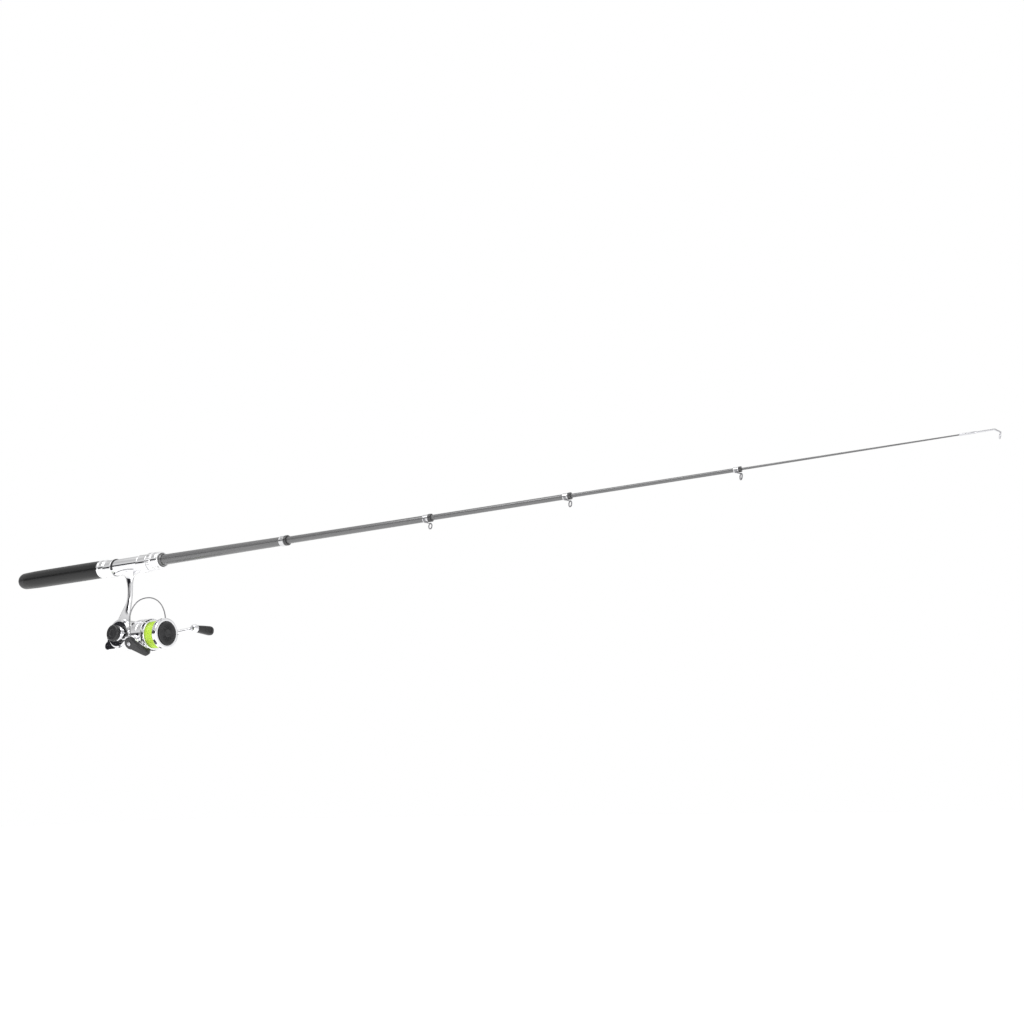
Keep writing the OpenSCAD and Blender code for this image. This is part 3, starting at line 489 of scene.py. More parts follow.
def guide(k):
    """A saddle on the ferrule, two legs and a leaning ring."""
    node = f"guide_{k}"
    low, high = span(node)
    top = radius_at(f"section_{k + 1}", 1) + 0.35
    tilt = 15
    ring_r, wire = 2.3, 0.5
    drop = -low.z - (ring_r + wire) * math.cos(math.radians(tilt))
    lean = math.sin(math.radians(tilt))
    centre = Vector((high.x - (ring_r + wire) * lean - 0.45, 0, -drop))
    crown = centre + Vector((lean, 0, math.cos(math.radians(tilt)))) * ring_r
    saddle_r = max(-high.z, top) if high.z < 0 else top
    saddle = blended([(low.x, saddle_r + 0.02, 0), (low.x, saddle_r + 0.4, 0.2), (low.x + 2.2, saddle_r + 0.4, 0.2),
                      (low.x + 2.2, saddle_r + 0.02, 0)], True)
    parts = [lathe(saddle, 40, True, arc=(-1.5, 1.5)), torus(centre, ring_r, wire, tilt)]
    for side in (-1, 1):
        foot = Vector((low.x + 1.2, side * 0.9, -saddle_r - 0.1))
        knee = foot.lerp(crown, 0.55) + Vector((-0.25, side * 0.25, 0))
        head = crown + Vector((0, side * 0.85, -0.2))
        points = [foot * (1 - t) ** 2 + knee * 2 * t * (1 - t) + head * t ** 2 for t in (j / 12 for j in range(13))]
        parts.append(tube(points, lambda t: 0.42 - 0.06 * t, 14))
    piece(f"line_guide_{k}", joined(*parts), GUIDE, "guide_steel", node)


def tip():
    """The tip's tube, a wire bent down and the end ring."""
    low, high = span("tip_top")
    end = span("tip_rod")[1].x
    centre = Vector(frame_point("tip_ring"))
    tilt = math.radians(15)
    crown = centre + Vector((math.sin(tilt), 0, math.cos(tilt))) * 2.1
    bend = high.x - 4.3
    collar = blended([(low.x, 0.72, 0), (low.x, 0.84, 0.1), (end + 0.8, 0.82, 0.3), (end + 2, 0.58, 0.3),
                      (end + 2, 0)])
    points = [Vector((end, 0, 0)), Vector((bend - 0.4, 0, 0))]
    for k in range(1, 9):
        a = math.radians(64) * k / 8
        points.append(Vector((bend + 1.6 * math.sin(a), 0, -1.6 * (1 - math.cos(a)))))
    points.append(crown)
    wire = tube(points, 0.6, 18)
    piece("tip_ring_wire", joined(lathe(collar, 48), wire, torus(centre, 2.1, 0.45, 15)), STEEL, "steel", "tip_top")


def frame_point(mount):
    """A mount's position from the record, in millimetres."""
    for entry in frame["record"]["mounts"]:
        if entry["name"] == mount:
            return [value / MM for value in entry["pos_m"]]
    raise ValueError(mount)


# ------------------------------------------------------------ reel frame

JOINTS = {joint["name"]: joint for joint in frame["joints"]}
GEAR_X = JOINTS["crank_turn"]["pos_m"][0] / MM
GEAR_Z = JOINTS["crank_turn"]["pos_m"][2] / MM
SPOOL_Z = JOINTS["rotor_spin"]["pos_m"][2] / MM
PIVOT_X = JOINTS["bail_swing"]["pos_m"][0] / MM
ROTOR_TURN = math.atan2(JOINTS["bail_swing"]["axis"][2], JOINTS["bail_swing"]["axis"][1])
ON_SPOOL = Matrix.Translation((0, 0, SPOOL_Z * MM))
ON_ROTOR = ON_SPOOL @ Matrix.Rotation(ROTOR_TURN, 4, "X")
# The crank's axis: X of a turned shape becomes Y of the reel.
ON_CRANK = Matrix.Translation((GEAR_X * MM, 0, GEAR_Z * MM)) @ Matrix.Rotation(math.pi / 2, 4, "Z")


def on_bail(lean, side=1):
    """Plates of the bail: Z runs out from the rotor on the near side, or on the far side at -1."""
    turn = Matrix.Rotation(0 if side > 0 else math.pi, 4, "X")
    return (ON_ROTOR @ turn @ Matrix.Translation((PIVOT_X * MM, 0, 0)) @ Matrix.Rotation(math.pi / 2, 4, "X")
            @ Matrix.Rotation(lean, 4, "Z"))


def stem():
    """The swept leg of the reel, lofted through oval rings: height, centre, half length, half width."""
    rings = [(-7.7, 156.6, 11.5, 5.2), (-9.2, 156.7, 8.6, 4.3), (-11, 156.9, 6.2, 3.4), (-13.5, 157.2, 4.6, 2.8),
             (-17.5, 157.7, 3.6, 2.3), (-22, 158.5, 2.95, 2.1), (-28, 159, 2.6, 2.1), (-34, 158.9, 2.6, 2.2),
             (-39, 157.9, 3.2, 2.4), (-44, 156.1, 4.5, 2.8), (-49, 154.4, 5.9, 3.3), (-54, 153.1, 7.4, 4),
             (-59, 152.5, 8.6, 4.8)]
    sides = 48
    bm = bmesh.new()
    made = []
    for z, x, half_x, half_y in loft_values(rings, 6):
        ring = []
        for k in range(sides):
            a = math.tau * k / sides
            ring.append(bm.verts.new(Vector((x + half_x * math.cos(a), half_y * math.sin(a), z)) * MM))
        made.append(ring)
    return skinned(bm, made)


def loft_values(rows, steps):
    """Catmull-Rom values between rows of numbers of any length."""
    padded = [rows[0], *rows, rows[-1]]
    values = []
    for a, b, c, d in zip(padded, padded[1:], padded[2:], padded[3:]):
        for k in range(steps):
            t = k / steps
            values.append([0.5 * (2 * q + (r - p) * t + (2 * p - 5 * q + 4 * r - s) * t ** 2
                                  + (3 * q - p - 3 * r + s) * t ** 3) for p, q, r, s in zip(a, b, c, d)])
    return [*values, list(rows[-1])]


def foot():
    """The curved foot plate with its two tabs."""
    low, high = span("reel_foot")
    middle = (low.x + high.x) / 2
    half_l = (high.x - low.x) / 2 - 0.2
    half_w = 6.8
    lens = (half_l ** 2 + half_w ** 2) / (2 * half_w)
    inner, outer = 7.62, 8.88
    bm = bmesh.new()
    columns, rows = 16, 64
    grid = []
    for i in range(rows + 1):
        u = -half_l + 2 * half_l * i / rows
        w = max(math.sqrt(lens ** 2 - u ** 2) - (lens - half_w), 0.35)
        line = []
        for layer in (outer, inner):
            reach = w if layer == outer else w - 0.15
            for k in range(columns + 1):
                share = k / columns if layer == outer else 1 - k / columns
                a = (2 * share - 1) * reach / layer
                line.append(bm.verts.new(Vector((middle + u, layer * math.sin(a), -layer * math.cos(a))) * MM))
        grid.append(line)
    return skinned(bm, grid)


def reel_leg():
    case_clearance = lathe([(-9.05, 0), (-9.05, 14.42), (9.05, 14.42), (9.05, 0)], 128)
    case_clearance.transform(ON_CRANK)
    leg = cut(cast(joined(foot(), stem()), 0.24, 9), case_clearance)
    piece("reel_leg", leg, CHROME_REEL, "chrome_reel", "reel_foot")


def drum(y0, y1, r, soft=1.2, x=0.0, z=0.0):
    """A disc about an axis parallel to the crank's, with soft rims, moved by x along the rod and z up."""
    outline = blended([(y0, 0), (y0, r, soft), (y1, r, soft), (y1, 0)])
    bm = lathe(outline, 128)
    bm.transform(Matrix.Translation((x * MM, 0, z * MM)) @ ON_CRANK)
    return bm


def block(x0, x1, y0, y1, z0, z1):
    """A straight block, used only to cut with or under casting."""
    bm = bmesh.new()
    bmesh.ops.create_cube(bm, size=1)
    bm.transform(Matrix.Translation(Vector((x0 + x1, y0 + y1, z0 + z1)) * MM / 2)
                 @ Matrix.Diagonal((*(Vector((x1 - x0, y1 - y0, z1 - z0)) * MM), 1)))
    return bm


CASE_R, CAVITY_R, CASE_FACE, CASE_SPLIT = 14.4, 13.2, 9, -5


def case_solid(y0, y1, grow=0.0):
    """The gear case's outline between two planes: the gear's round, the keel at the back and the root of the leg."""
    keel = drum(y0, y1, 4.6 + grow, 0.3, -13.5, -10.5)
    return joined(drum(y0, y1, CASE_R + grow, 0.3), keel,
                  block(GEAR_X - 15 - grow, GEAR_X - 4, y0, y1, GEAR_Z - 14.6 - grow, GEAR_Z - 3))


def gear_case():
    split, face = CASE_SPLIT, CASE_FACE
    front = span("gear_housing")[1].x
    nose = lathe(blended([(GEAR_X + 6, 0), (GEAR_X + 6, 9.6, 0.5), (front - 2, 9.6, 1), (front - 1.8, 8, 0.3),
                          (front, 8, 0.4), (front, 0)]), 96)
    nose.transform(ON_SPOOL)
    sleeve = drum(face - 1, 20, 5.6, 0.5)
    flare = lathe(blended([(face - 1, 0), (face - 0.6, 10.5, 0.5), (face + 1.2, 8.4, 1.2), (face + 2.2, 6.2, 2),
                           (face + 5, 5.5, 1), (face + 5, 0)]), 96)
    flare.transform(ON_CRANK)
    cavity = drum(split - 1, face - 2.4, CAVITY_R, 0.5)
    bore = drum(-6, 21, 2.5, 0.1)
    seat = drum(20 - 2.2, 21, 4, 0.1)
    tunnel = lathe([(GEAR_X + 6, 0), (GEAR_X + 6, 6), (front + 1, 6), (front + 1, 0)], 64)
    tunnel.transform(ON_SPOOL)
    body = cast(joined(case_solid(split + 0.02, face - 1.2), drum(face - 2.2, face, 13, 0.8), nose, sleeve, flare),
                0.26, 6)
    piece("gear_case", cut(body, cavity, bore, seat, tunnel), CHROME_REEL, "chrome_reel", "gear_housing")

    step = drum(-face, -face + 1.5, 13, 0.8)
    boss = drum(-face - 3, -face + 1, 6.4, 0.6)
    hollow = drum(-face + 2.4, split + 1, CAVITY_R, 0.5)
    counter = drum(-face - 4, -face - 1.2, 4.5, 0.2)
    hole = drum(-14, 0, 2.5, 0.1)
    cover = cast(joined(case_solid(-face + 1.2, split - 0.02), step, boss), 0.26, 6)
    wells = [drum(-9.4, split - 2.9, 1.6, 0.1, *screw_place(a)) for a in SCREW_TURNS]
    piece("case_cover", cut(cover, hollow, counter, hole, *wells), CHROME_REEL, "chrome_reel", "side_cover")

    heads = [screw_head(a) for a in SCREW_TURNS]
    piece("case_screws", joined(*heads), STEEL, "steel", "cover_screws")


SCREW_TURNS = [math.radians(a) for a in (75, 165, 305)]
SCREW_CIRCLE_R = 13.3


def screw_place(turn):
    """Where a cover screw sits from the crank's axis, along the rod and up."""
    return SCREW_CIRCLE_R * math.cos(turn), -SCREW_CIRCLE_R * math.sin(turn)


def screw_head(turn):
    """A pan head with a cross recess, and its thread."""
    at = screw_place(turn)
    head = drum(-9.0, -7.9, 1.45, 0.35, *at)
    shank = drum(-8.2, -2, 0.78, 0.2, *at)
    x, z = GEAR_X + at[0], GEAR_Z + at[1]
    cross = [block(x - 0.9, x + 0.9, -9.5, -8.5, z - 0.16, z + 0.16),
             block(x - 0.16, x + 0.16, -9.5, -8.5, z - 0.9, z + 0.9)]
    return joined(cut(head, *cross), shank)


def rotor():
    """The cup that turns round the spool and its two bail arms."""
    x0, x1 = PIVOT_X - 7.5, PIVOT_X + 8.5
    r = 15.9
    shell = blended([(x0, 2.45, 0), (x0, 12, 0.4), (x0 + 0.5, 14.6, 1.2), (x0 + 2.2, r, 1.2), (x0 + 9, r, 0.3),
                     (x0 + 9.5, r - 0.35, 0.3), (x1 - 2.2, r - 0.35, 0.3), (x1 - 1.7, r, 0.3), (x1, r, 0.5),
                     (x1, 15, 0.4), (x0 + 3.6, 15, 1.2), (x0 + 2.5, 13.4, 0.8), (x0 + 2.5, 2.45, 0)], True)
    cup = lathe(shell, 160, True)
    arms = []
    for side in (1, -1):
        half = 6.3
        turns = [math.radians(-90 + 180 * k / 32) for k in range(33)]
        outline = [(half * math.cos(a), half * math.sin(a)) for a in turns]
        outline += [(-6.9, half), (-7.5, half - 0.6), (-7.5, -half + 0.6), (-6.9, -half)]
        arm = plate(outline, 14.4, 19, 0.7)
        arm.transform(on_bail(0, side))
        arms.append(arm)
    inside = lathe([(x0 + 2.5, 0), (x0 + 2.5, 15), (x1 + 3, 15), (x1 + 3, 0)], 160)
    arms = cut(joined(*arms), inside)
    cup.transform(ON_ROTOR)
    piece("rotor_cup", joined(cup, arms), CHROME_REEL, "chrome_reel", "rotor")


# ------------------------------------------------------------------ bail

LEVER_LEAN = math.radians(-33)
WIRE_LEAN = math.radians(71)
LEVER_IN, LEVER_OUT = 19.2, 22.8
HOLDER_R = 5.6
SCREW_R = 1.25
ROLLER_AT, ROLLER_IN = 13.5, 15.6


def bail():
    reach = 20.5
    outline = [(6 * math.cos(a), 6 * math.sin(a)) for a in (math.radians(56 + 248 * k / 40) for k in range(41))]
    outline += [tuple(p) for p in blended([(0, -5, 0), (reach - 3, -3.8, 2), (reach + 0.6, -3.1, 2),
                                           (reach + 2, -1.2, 1.4), (reach + 2, 0.5, 1), (reach + 0.6, 2.3, 1.5),
                                           (reach - 5, 3.6, 3), (0, 5, 0)])[1:-1]]
    arm = plate(outline, LEVER_IN, LEVER_OUT, 0.7, 4)
    block_outline = blended([(17.4, -3, 0.8), (21, -3, 0.8), (21, 2.5, 0.8), (17.4, 2.5, 0.8)], True)
    end = plate(block_outline, 16.4, LEVER_IN + 1, 0.4)
    axle = plate(circle(0.8, 32, ROLLER_AT), ROLLER_IN, LEVER_IN + 1, 0.1)
    lip = plate(blended([(7, -2.2, 0.8), (17.5, -1.7, 0.8), (17.5, 1.5, 0.8), (7, 2, 0.8)], True),
                LEVER_OUT - 0.3, LEVER_OUT + 0.12, 0.1)
    lever = joined(cut(arm, screw_hole(1)), end, axle, lip)
    piece("bail_arm", lever, BLACK, "black_plastic", "bail_lever", place=on_bail(LEVER_LEAN))

    half = 1.65
    groove = blended([(-half, 0.86, 0), (-half, 2.55, 0.25), (-half + 0.6, 2.6, 0.3), (0, 1.9, 0.9),
                      (half - 0.6, 2.6, 0.3), (half, 2.55, 0.25), (half, 0.86, 0)])
    roller = lathe(groove, 64, True)
    lift = Matrix.Translation(Vector((ROLLER_AT, 0, ROLLER_IN + half)) * MM) @ Matrix.Rotation(-math.pi / 2, 4, "Y")
    piece("line_bearing", roller, STEEL, "steel", "line_roller", place=on_bail(LEVER_LEAN) @ lift)

    disc = plate(circle(HOLDER_R, 64), LEVER_IN, LEVER_OUT, 0.7, 4)
    socket = plate(blended([(3, -2, 0.3), (8, -2, 0.8), (8, 2, 0.8), (3, 2, 0.3)], True), LEVER_IN + 0.2,
                   LEVER_OUT - 0.2, 0.5)
    socket.transform(Matrix.Rotation(-WIRE_LEAN, 4, "Z"))
    well = plate(circle(4.4, 48), LEVER_IN - 1, LEVER_IN + 1.7, 0)
    stub = plate(circle(2.3, 48), LEVER_IN, LEVER_IN + 2, 0)
    rim = cut(cut(disc, well), screw_hole(2))
    holder = cut(joined(rim, cut(stub, screw_hole(2))), screw_hole(2))
    piece("bail_far_arm", joined(holder, socket), BLACK, "black_plastic", "bail_holder", place=on_bail(0, -1))

    screws = joined(*[bail_screw(side) for side in (1, -1)])
    piece("pivot_screws", screws, STEEL, "steel", "bail_screws")
    wire()


def screw_hole(past):
    """A cutter for the pivot screw's hole, which runs past both faces of an arm."""
    return plate(circle(SCREW_R, 40), LEVER_IN - past, LEVER_OUT + past, 0)


def bail_screw(side):
    """A domed cross-head screw that the bail turns on."""
    dome = blended([(15.2, 0), (15.2, 1.2, 0.2), (LEVER_OUT + 0.2, 1.2, 0), (LEVER_OUT + 0.2, 2.1, 0.2),
                    (LEVER_OUT + 0.6, 2.05, 0.3), (LEVER_OUT + 1, 1.2, 0.4), (LEVER_OUT + 1, 0)])
    body = lathe(dome, 64)
    body.transform(Matrix.Rotation(-math.pi / 2, 4, "Y"))
    out = (LEVER_OUT + 0.5, LEVER_OUT + 2)
    cross = [block(-1.3, 1.3, -0.25, 0.25, *out), block(-0.25, 0.25, -1.3, 1.3, *out)]
    made = cut(body, *cross)
    made.transform(on_bail(math.radians(20), side))
    return made


def wire():
    """The bail's bent wire, from the near lever over the spool to the far arm."""
    near_h, near_r, far_r, hook, leg = 21, 16, 32.5, 3.5, 23.5
    mid = near_h - near_r
    top = leg + near_r
    far_y = top - far_r
    far_h = mid - far_r
    flat = [(near_h, HOLDER_R)]
    for k in range(25):
        a = math.radians(90 * k / 24)
        flat.append((mid + near_r * math.cos(a), leg + near_r * math.sin(a)))
    for k in range(1, 25):
        a = math.radians(90 + 90 * k / 24)
        flat.append((mid + far_r * math.cos(a), far_y + far_r * math.sin(a)))
    for k in range(1, 13):
        a = math.radians(180 + 90 * k / 12)
        flat.append((far_h + hook + hook * math.cos(a), far_y + hook * math.sin(a)))
    flat.append((-LEVER_OUT + 0.8, far_y - hook))
    turn = Matrix.Rotation(-WIRE_LEAN, 4, "Y")
    points = [turn @ Vector((y, -h, 0)) for h, y in flat]
    bent = tube([p + Vector((PIVOT_X, 0, 0)) for p in points], 0.55, 18)
    piece("bail_hoop", bent, GUIDE, "steel", "bail_wire", place=ON_ROTOR)


# ----------------------------------------------------------------- spool

def spool():
    high = span("spool")[1]
    face = high.x
    rim = face - 5.6
    line = rim - 10.2
    rear = line - 2.4
    r = high.y
    outline = blended([(rear, 6, 0), (rear, 14.3, 0.4), (rear + 0.5, 14.6, 0.3), (line - 0.4, 14.6, 0.3),
                       (line, 14.2, 0.3), (line, 8, 0.3), (rim, 8, 0.3), (rim, r - 0.7, 0.4), (rim + 0.7, r, 0.4),
                       (face - 0.9, r, 0.6), (face, r - 0.8, 0.5), (face, 11.7, 0.3), (face - 4.2, 11.4, 0.4),
                       (face - 4.2, 5.2, 0), (rim + 0.4, 5.2, 0), (rim + 0.4, 1.15, 0), (rear + 6, 1.15, 0),
                       (rear + 6, 6, 0)], True)
    body = lathe(outline, 160, True)
    slots = []
    for i in range(10):
        slot = plate(blended([(rim + 1.7, -1.9, 0.5), (rim + 3.8, -1.9, 0.5), (rim + 3.8, 1.9, 0.5),
                              (rim + 1.7, 1.9, 0.5)], True), r - 1.1, r + 2, 0)
        slot.transform(Matrix.Rotation(math.tau * (i + 0.5) / 10, 4, "X"))
        slots.append(slot)
    piece("spool_shell", cut(body, *slots), CHROME_REEL, "chrome_reel", "spool", place=ON_SPOOL)
    # Thin black sheets on the floors of the shallow slot pockets are painted shade: they make the slots look deep and
    # dark.
    floor = []
    for i in range(10):
        slot_shade = lathe([(rim + 1.75, r - 1.1), (rim + 1.75, r - 0.95), (rim + 3.75, r - 0.95), (rim + 3.75, r - 1.1)],
                      8, True, arc=(math.tau * (i + 0.5) / 10 - 0.125, math.tau * (i + 0.5) / 10 + 0.125))
        floor.append(slot_shade)
    painted_slot_shade = joined(*floor)
    painted_slot_shade.transform(ON_SPOOL)
    piece("spool_slot_painted_shade", painted_slot_shade, BLACK, "black_plastic", "spool")

    wound(line, rim)
    drag(face)


def wound(x0, x1):
    """The line: a packed core whose surface shows every turn, and the last two crossing layers."""
    pitch = 0.34
    turns = int((x1 - x0 - 0.2) / pitch)
    r = span("line")[1].y
    outline = [(x0 + 0.05, 8.05), (x0 + 0.05, r - 0.5)]
    start = (x0 + x1 - turns * pitch) / 2
    for k in range(turns * 4 + 1):
        x = start + pitch * k / 4
        swell = 0.12 * math.sin(math.pi * (x - x0) / (x1 - x0))
        outline.append((x, r - 0.42 + swell + 0.1 * abs(math.sin(math.pi * k / 4))))
    outline += [(x1 - 0.05, r - 0.5), (x1 - 0.05, 8.05)]
    core = lathe(outline, 96, True)
    layers = []
    for sign, lift in ((1, 0.0), (-1, 0.06)):
        points = []
        wraps = 11
        for k in range(wraps * 40 + 1):
            share = k / (wraps * 40)
            a = sign * math.tau * wraps * share
            x = start + 0.2 + (turns * pitch - 0.4) * (share if sign > 0 else 1 - share)
            points.append((x, (r - 0.22 + lift) * math.sin(a), (r - 0.22 + lift) * math.cos(a)))
        layers.append(tube(points, 0.15, 8))
    piece("wound_line", joined(core, *layers), LINE, "line_yellow", "line", place=ON_SPOOL, sharp=2)


def drag(face):
    """The drag knob: a dished black dial with radial ribs and a raised hub."""
    ribs = 48
    x0, x1 = face - 3.9, face + 1.4

    outline = blended([(x0, 1.15, 0), (x0, 10.5, 0.3), (face - 1.4, 11.1, 0.4), (x1 - 0.5, 11.1, 0.4),
                       (x1, 10.4, 0.4), (x1 - 0.25, 9.5, 0.3), (x1 - 0.45, 4.4, 0.5), (x1, 3.6, 0.3),
                       (x1, 2.6, 0.3), (x1 - 0.5, 2, 0.3), (x1 - 0.5, 0)])
    body = lathe(outline, 160)
    grips = []
    for i in range(ribs):
        bar = plate(blended([(3.9, -0.16, 0.1), (9.6, -0.28, 0.2), (9.6, 0.28, 0.2), (3.9, 0.16, 0.1)], True),
                    -0.6, 0.0, 0.1, 2)
        bar.transform(Matrix.Rotation(math.tau * i / ribs, 4, "X") @ Matrix.Translation(((x1 - 0.06) * MM, 0, 0))
                      @ Matrix.Rotation(math.pi / 2, 4, "Y"))
        grips.append(bar)
    piece("drag_dial", joined(body, *grips), BLACK, "black_plastic", "drag_knob", place=ON_SPOOL)


# ----------------------------------------------------------------- crank

def crank():
    knuckle = Vector(JOINTS["knob_spin"]["pos_m"]) / MM - Vector((0, 4, 0))
    hub_mid = Vector((GEAR_X, 33, GEAR_Z))
    arm = knuckle - hub_mid
    socket_end = hub_mid + arm * 0.62
    barrel = drum(20.3, 37, 4.6, 1.0)

    def socket_r(t):
        """The socket tapers, with a bead round its mouth."""
        bead = 0.25 * math.sin(math.pi * min(1, (t - 0.85) / 0.15)) if t > 0.85 else 0
        return 3.4 - 0.7 * t + bead

    grip = tube([hub_mid.lerp(socket_end, k / 16) for k in range(17)], socket_r, 40)
    hub = cast(joined(barrel, ball(hub_mid, 4.1), grip), 0.25, 6)
    bore = drum(19, 35, 1.95, 0.1)
    piece("crank_socket", cut(hub, bore), BLACK, "black_plastic", "crank_hub")

    rod_points = [hub_mid.lerp(knuckle, 0.3 + 0.7 * k / 12) for k in range(13)]
    boss = lathe(blended([(0, 0), (0, 2.6, 0.8), (0.9, 3.7, 0.8), (2.2, 4.1, 0.8), (4.6, 4.1, 0.8), (5.8, 3.7, 0.5),
                          (6.4, 3.2, 0.2), (6.4, 0)]), 72)
    place = Matrix.Translation((knuckle - Vector((0, 3.2, 0))) * MM) @ Matrix.Rotation(math.pi / 2, 4, "Z")
    boss.transform(place)
    axle = tube([knuckle + Vector((0, 2.8 + 15.5 * k / 4, 0)) for k in range(5)], 1.2, 32)
    piece("crank_rod", joined(tube(rod_points, 2.1, 40), boss, axle), CHROME_REEL, "chrome_reel", "crank_arm")
    knob(knuckle)


def knob(knuckle):
    """The flattened paddle, with a ribbed inset on each face."""
    low, high = span("crank_knob")
    length = high.y - low.y
    rows = [(0, 2.9), (0.5, 3.35), (1.5, 3.5), (6, 3.95), (14, 4.5), (length - 3, 4.6), (length - 1.2, 4.3),
            (length - 0.3, 3.6), (length, 2.6)]
    sides = 64
    bm = bmesh.new()
    made = []
    for y, r in loft_values(rows, 4):
        ring = []
        for k in range(sides):
            a = math.tau * k / sides
            flat = abs(math.cos(a)) ** (2 / 3.2)
            wide = abs(math.sin(a)) ** (2 / 2.4)
            x = math.copysign(min(r, 3.3) * flat, math.cos(a))
            z = math.copysign(r * wide, math.sin(a))
            ring.append(bm.verts.new(Vector((x, y, z)) * MM))
        made.append(ring)
    skinned(bm, made)
    cutters, ribs = [], []
    for side in (-1, 1):
        inner, outer = sorted((side * 2.85, side * 5))
        pocket = plate(blended([(8, -2.6, 1), (length - 3, -2.8, 1), (length - 3, 2.8, 1), (8, 2.6, 1)], True),
                       inner, outer, 0)
        cutters.append(pocket)
        for k in range(5):
            y = 9.4 + k * 1.7
            low_h, high_h = sorted((side * 2.6, side * 3.1))
            ribs.append(plate(blended([(y, -2.3, 0.3), (y + 0.8, -2.3, 0.3), (y + 0.8, 2.3, 0.3), (y, 2.3, 0.3)],
                                      True), low_h, high_h, 0.12, 2))
    across = Matrix.Rotation(math.pi / 2, 4, "Z") @ Matrix.Rotation(math.pi / 2, 4, "X")
    for part in (*cutters, *ribs):
        part.transform(across)
    place = Matrix.Translation(Vector((knuckle.x, low.y, knuckle.z)) * MM)
    piece("crank_grip", joined(cut(bm, *cutters), *ribs), BLACK, "black_plastic", "crank_knob", place=place)


def cap():
    """The black cap that closes the crank's socket on the near side."""
    low, high = span("shaft_cap")
    outer = low.y
    count = 24

    def flute(y, angle):
        return -0.32 * max(0.0, math.cos(count * angle)) ** 4 if outer + 1.1 < y < outer + 4.2 else 0

    steps = 6
    wall = [(outer + 1.15 + 3 * k / steps, 8) for k in range(steps + 1)]
    outline = [(outer + 0.7, 0), (outer + 0.7, 2.9), *blended([(outer + 0.7, 2.9, 0), (outer, 3.4, 0.3),
               (outer, 6.8, 0.5), (outer + 0.9, 7.5, 0.4), (outer + 1, 7.9, 0)])[1:], *wall,
               (outer + 4.3, 7.8), (outer + 4.4, 7.3), (outer + 4.4, 4.2), (high.y, 4.2), (high.y, 0)]
    piece("side_cap", lathe(outline, count * 12, wave=flute), BLACK, "black_plastic", "shaft_cap",
          place=ON_CRANK)


def catch():
    """The thumb lever of the anti-reverse catch."""
    node = frame["nodes"]["reverse_lever"]
    for entry in node.material_slots:
        entry.material = BLACK


handle()
rod()
reel_leg()
gear_case()
rotor()
bail()
spool()
crank()
cap()
catch()

# ----------------------------------------------------------------- stage

def ramp(tree, source, *stops):
    """Greys against a 0 to 1 value, as (place, grey) stops."""
    made = tree.nodes.new("ShaderNodeValToRGB")
    entries = made.color_ramp.elements
    entries[0].position, entries[1].position = stops[0][0], stops[-1][0]
    entries[0].color = (*[stops[0][1]] * 3, 1)
    entries[1].color = (*[stops[-1][1]] * 3, 1)
    for position, grey in stops[1:-1]:
        entries.new(position).color = (grey, grey, grey, 1)
    tree.links.new(source.outputs["Result"], made.inputs["Fac"])
    return made


def panel(tree, place, direction):
    """1 towards a level direction, fading out 50 to 60 degrees from it."""
    side = tree.nodes.new("ShaderNodeVectorMath")
    side.operation = "DOT_PRODUCT"
    side.inputs[1].default_value = direction
    tree.links.new(place.outputs["Generated"], side.inputs[0])
    wide = tree.nodes.new("ShaderNodeMapRange")
    wide.inputs["From Min"].default_value = 0.5
    wide.inputs["From Max"].default_value = 0.64
    tree.links.new(side.outputs["Value"], wide.inputs["Value"])
    return wide


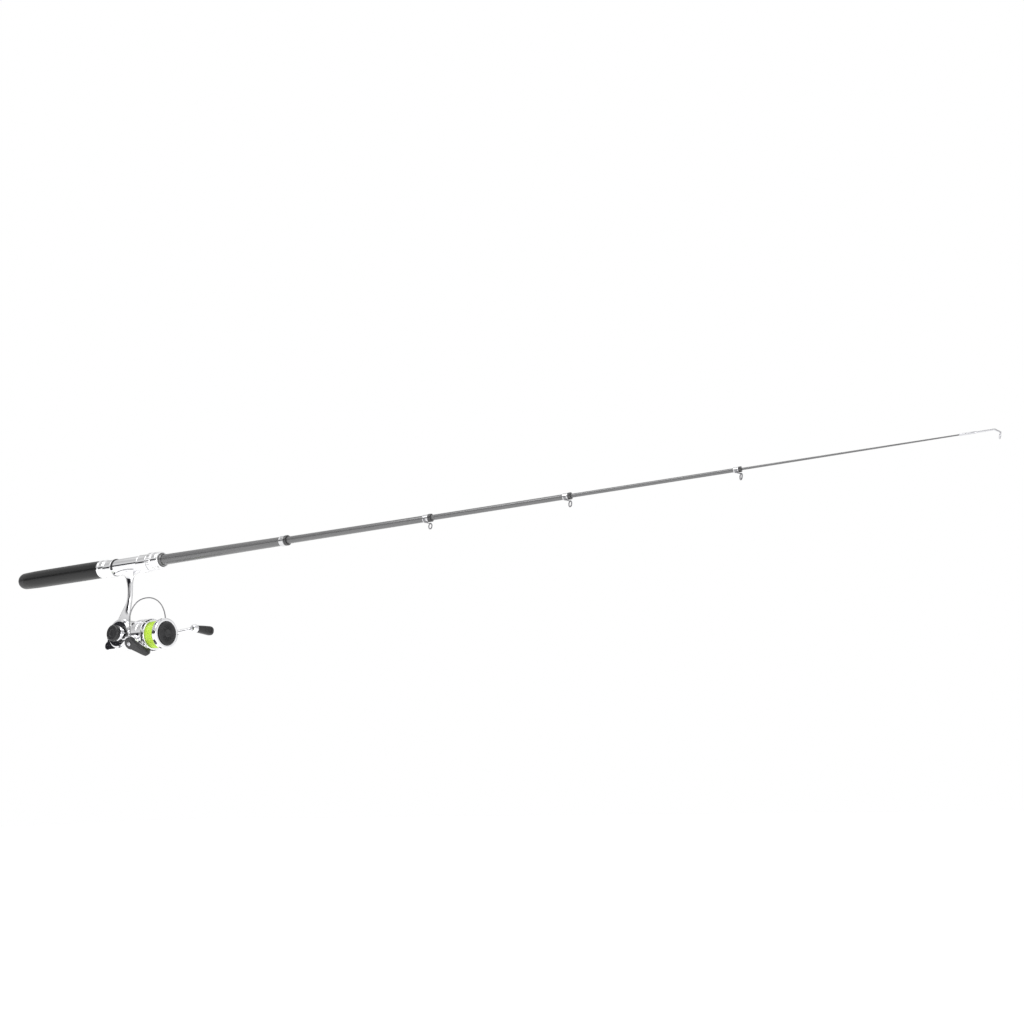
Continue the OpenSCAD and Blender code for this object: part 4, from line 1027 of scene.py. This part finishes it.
def studio():
    """Plain pale floor, white surroundings that grey towards the zenith, dark panels and two soft lights."""
    scene = bpy.context.scene
    scene.view_settings.view_transform = "Standard"
    world = bpy.data.worlds.new("studio")
    scene.world = world
    world.use_nodes = True
    tree = world.node_tree
    back = tree.nodes["Background"]
    back.inputs["Strength"].default_value = 1.0
    place = tree.nodes.new("ShaderNodeTexCoord")
    split = tree.nodes.new("ShaderNodeSeparateXYZ")
    tree.links.new(place.outputs["Generated"], split.inputs["Vector"])
    height = tree.nodes.new("ShaderNodeMapRange")
    height.inputs["From Min"].default_value = -1
    height.inputs["From Max"].default_value = 1
    tree.links.new(split.outputs["Z"], height.inputs["Value"])
    sky = ramp(tree, height, (0.3, 0.82), (0.45, 0.95), (0.56, 1.0), (0.68, 0.72), (0.8, 0.55), (0.9, 1.0))
    band = ramp(tree, height, (0.46, 0.0), (0.49, 1.0), (0.58, 1.0), (0.63, 0.0))
    panels = [panel(tree, place, direction) for direction in ((-0.34, -0.94, 0), (-0.6, 0.8, 0))]
    either = tree.nodes.new("ShaderNodeMath")
    either.operation = "MAXIMUM"
    tree.links.new(panels[0].outputs["Result"], either.inputs[0])
    tree.links.new(panels[1].outputs["Result"], either.inputs[1])
    dark = tree.nodes.new("ShaderNodeMath")
    dark.operation = "MULTIPLY"
    tree.links.new(either.outputs["Value"], dark.inputs[0])
    tree.links.new(band.outputs["Color"], dark.inputs[1])
    shade = tree.nodes.new("ShaderNodeMix")
    shade.data_type = "RGBA"
    shade.inputs["B"].default_value = (0.02, 0.02, 0.024, 1)
    tree.links.new(dark.outputs["Value"], shade.inputs["Factor"])
    tree.links.new(sky.outputs["Color"], shade.inputs["A"])
    seen = tree.nodes.new("ShaderNodeLightPath")
    plain = tree.nodes.new("ShaderNodeMix")
    plain.data_type = "RGBA"
    plain.inputs["B"].default_value = (1, 1, 1, 1)
    tree.links.new(seen.outputs["Is Camera Ray"], plain.inputs["Factor"])
    tree.links.new(shade.outputs["Result"], plain.inputs["A"])
    tree.links.new(plain.outputs["Result"], back.inputs["Color"])

    mesh = bpy.data.meshes.new("floor")
    size, height = 12, -0.55
    mesh.from_pydata([(-size, -size, height), (size, -size, height), (size, size, height), (-size, size, height)],
                     [], [(0, 1, 2, 3)])
    floor = bpy.data.objects.new("floor", mesh)
    scene.collection.objects.link(floor)
    pale = finish("pale_floor", (0.93, 0.93, 0.93), (0.95, 0.95, 0.95), 0.8, 0.9, 3, bump=0.02)
    shader = pale.node_tree.nodes["Principled BSDF"]
    shader.inputs["Emission Color"].default_value = (1, 1, 1, 1)
    shader.inputs["Emission Strength"].default_value = 0.35
    mesh.materials.append(pale)

    for name, at, width, power in (("key", (0.1, -1.2, 1.3), 1.2, 14), ("fill", (1.4, -1.3, -0.2), 0.8, 5)):
        data = bpy.data.lights.new(name, "AREA")
        data.size = width
        data.energy = power
        lamp = bpy.data.objects.new(name, data)
        lamp.location = at
        aim = Vector((0.3, 0, -0.03)) - Vector(at)
        lamp.rotation_mode = "QUATERNION"
        lamp.rotation_quaternion = aim.to_track_quat("-Z", "Y")
        scene.collection.objects.link(lamp)


def camera():
    data = bpy.data.cameras.new("camera")
    data.lens = 38.67
    data.sensor_width = 36
    data.clip_start = 0.01
    made = bpy.data.objects.new("camera", data)
    made.location = (0.99677, -0.77004, -0.22653)
    made.rotation_euler = [math.radians(a) for a in (104.2144, 1.2867, 28.2513)]
    bpy.context.scene.collection.objects.link(made)
    bpy.context.scene.camera = made


studio()
camera()
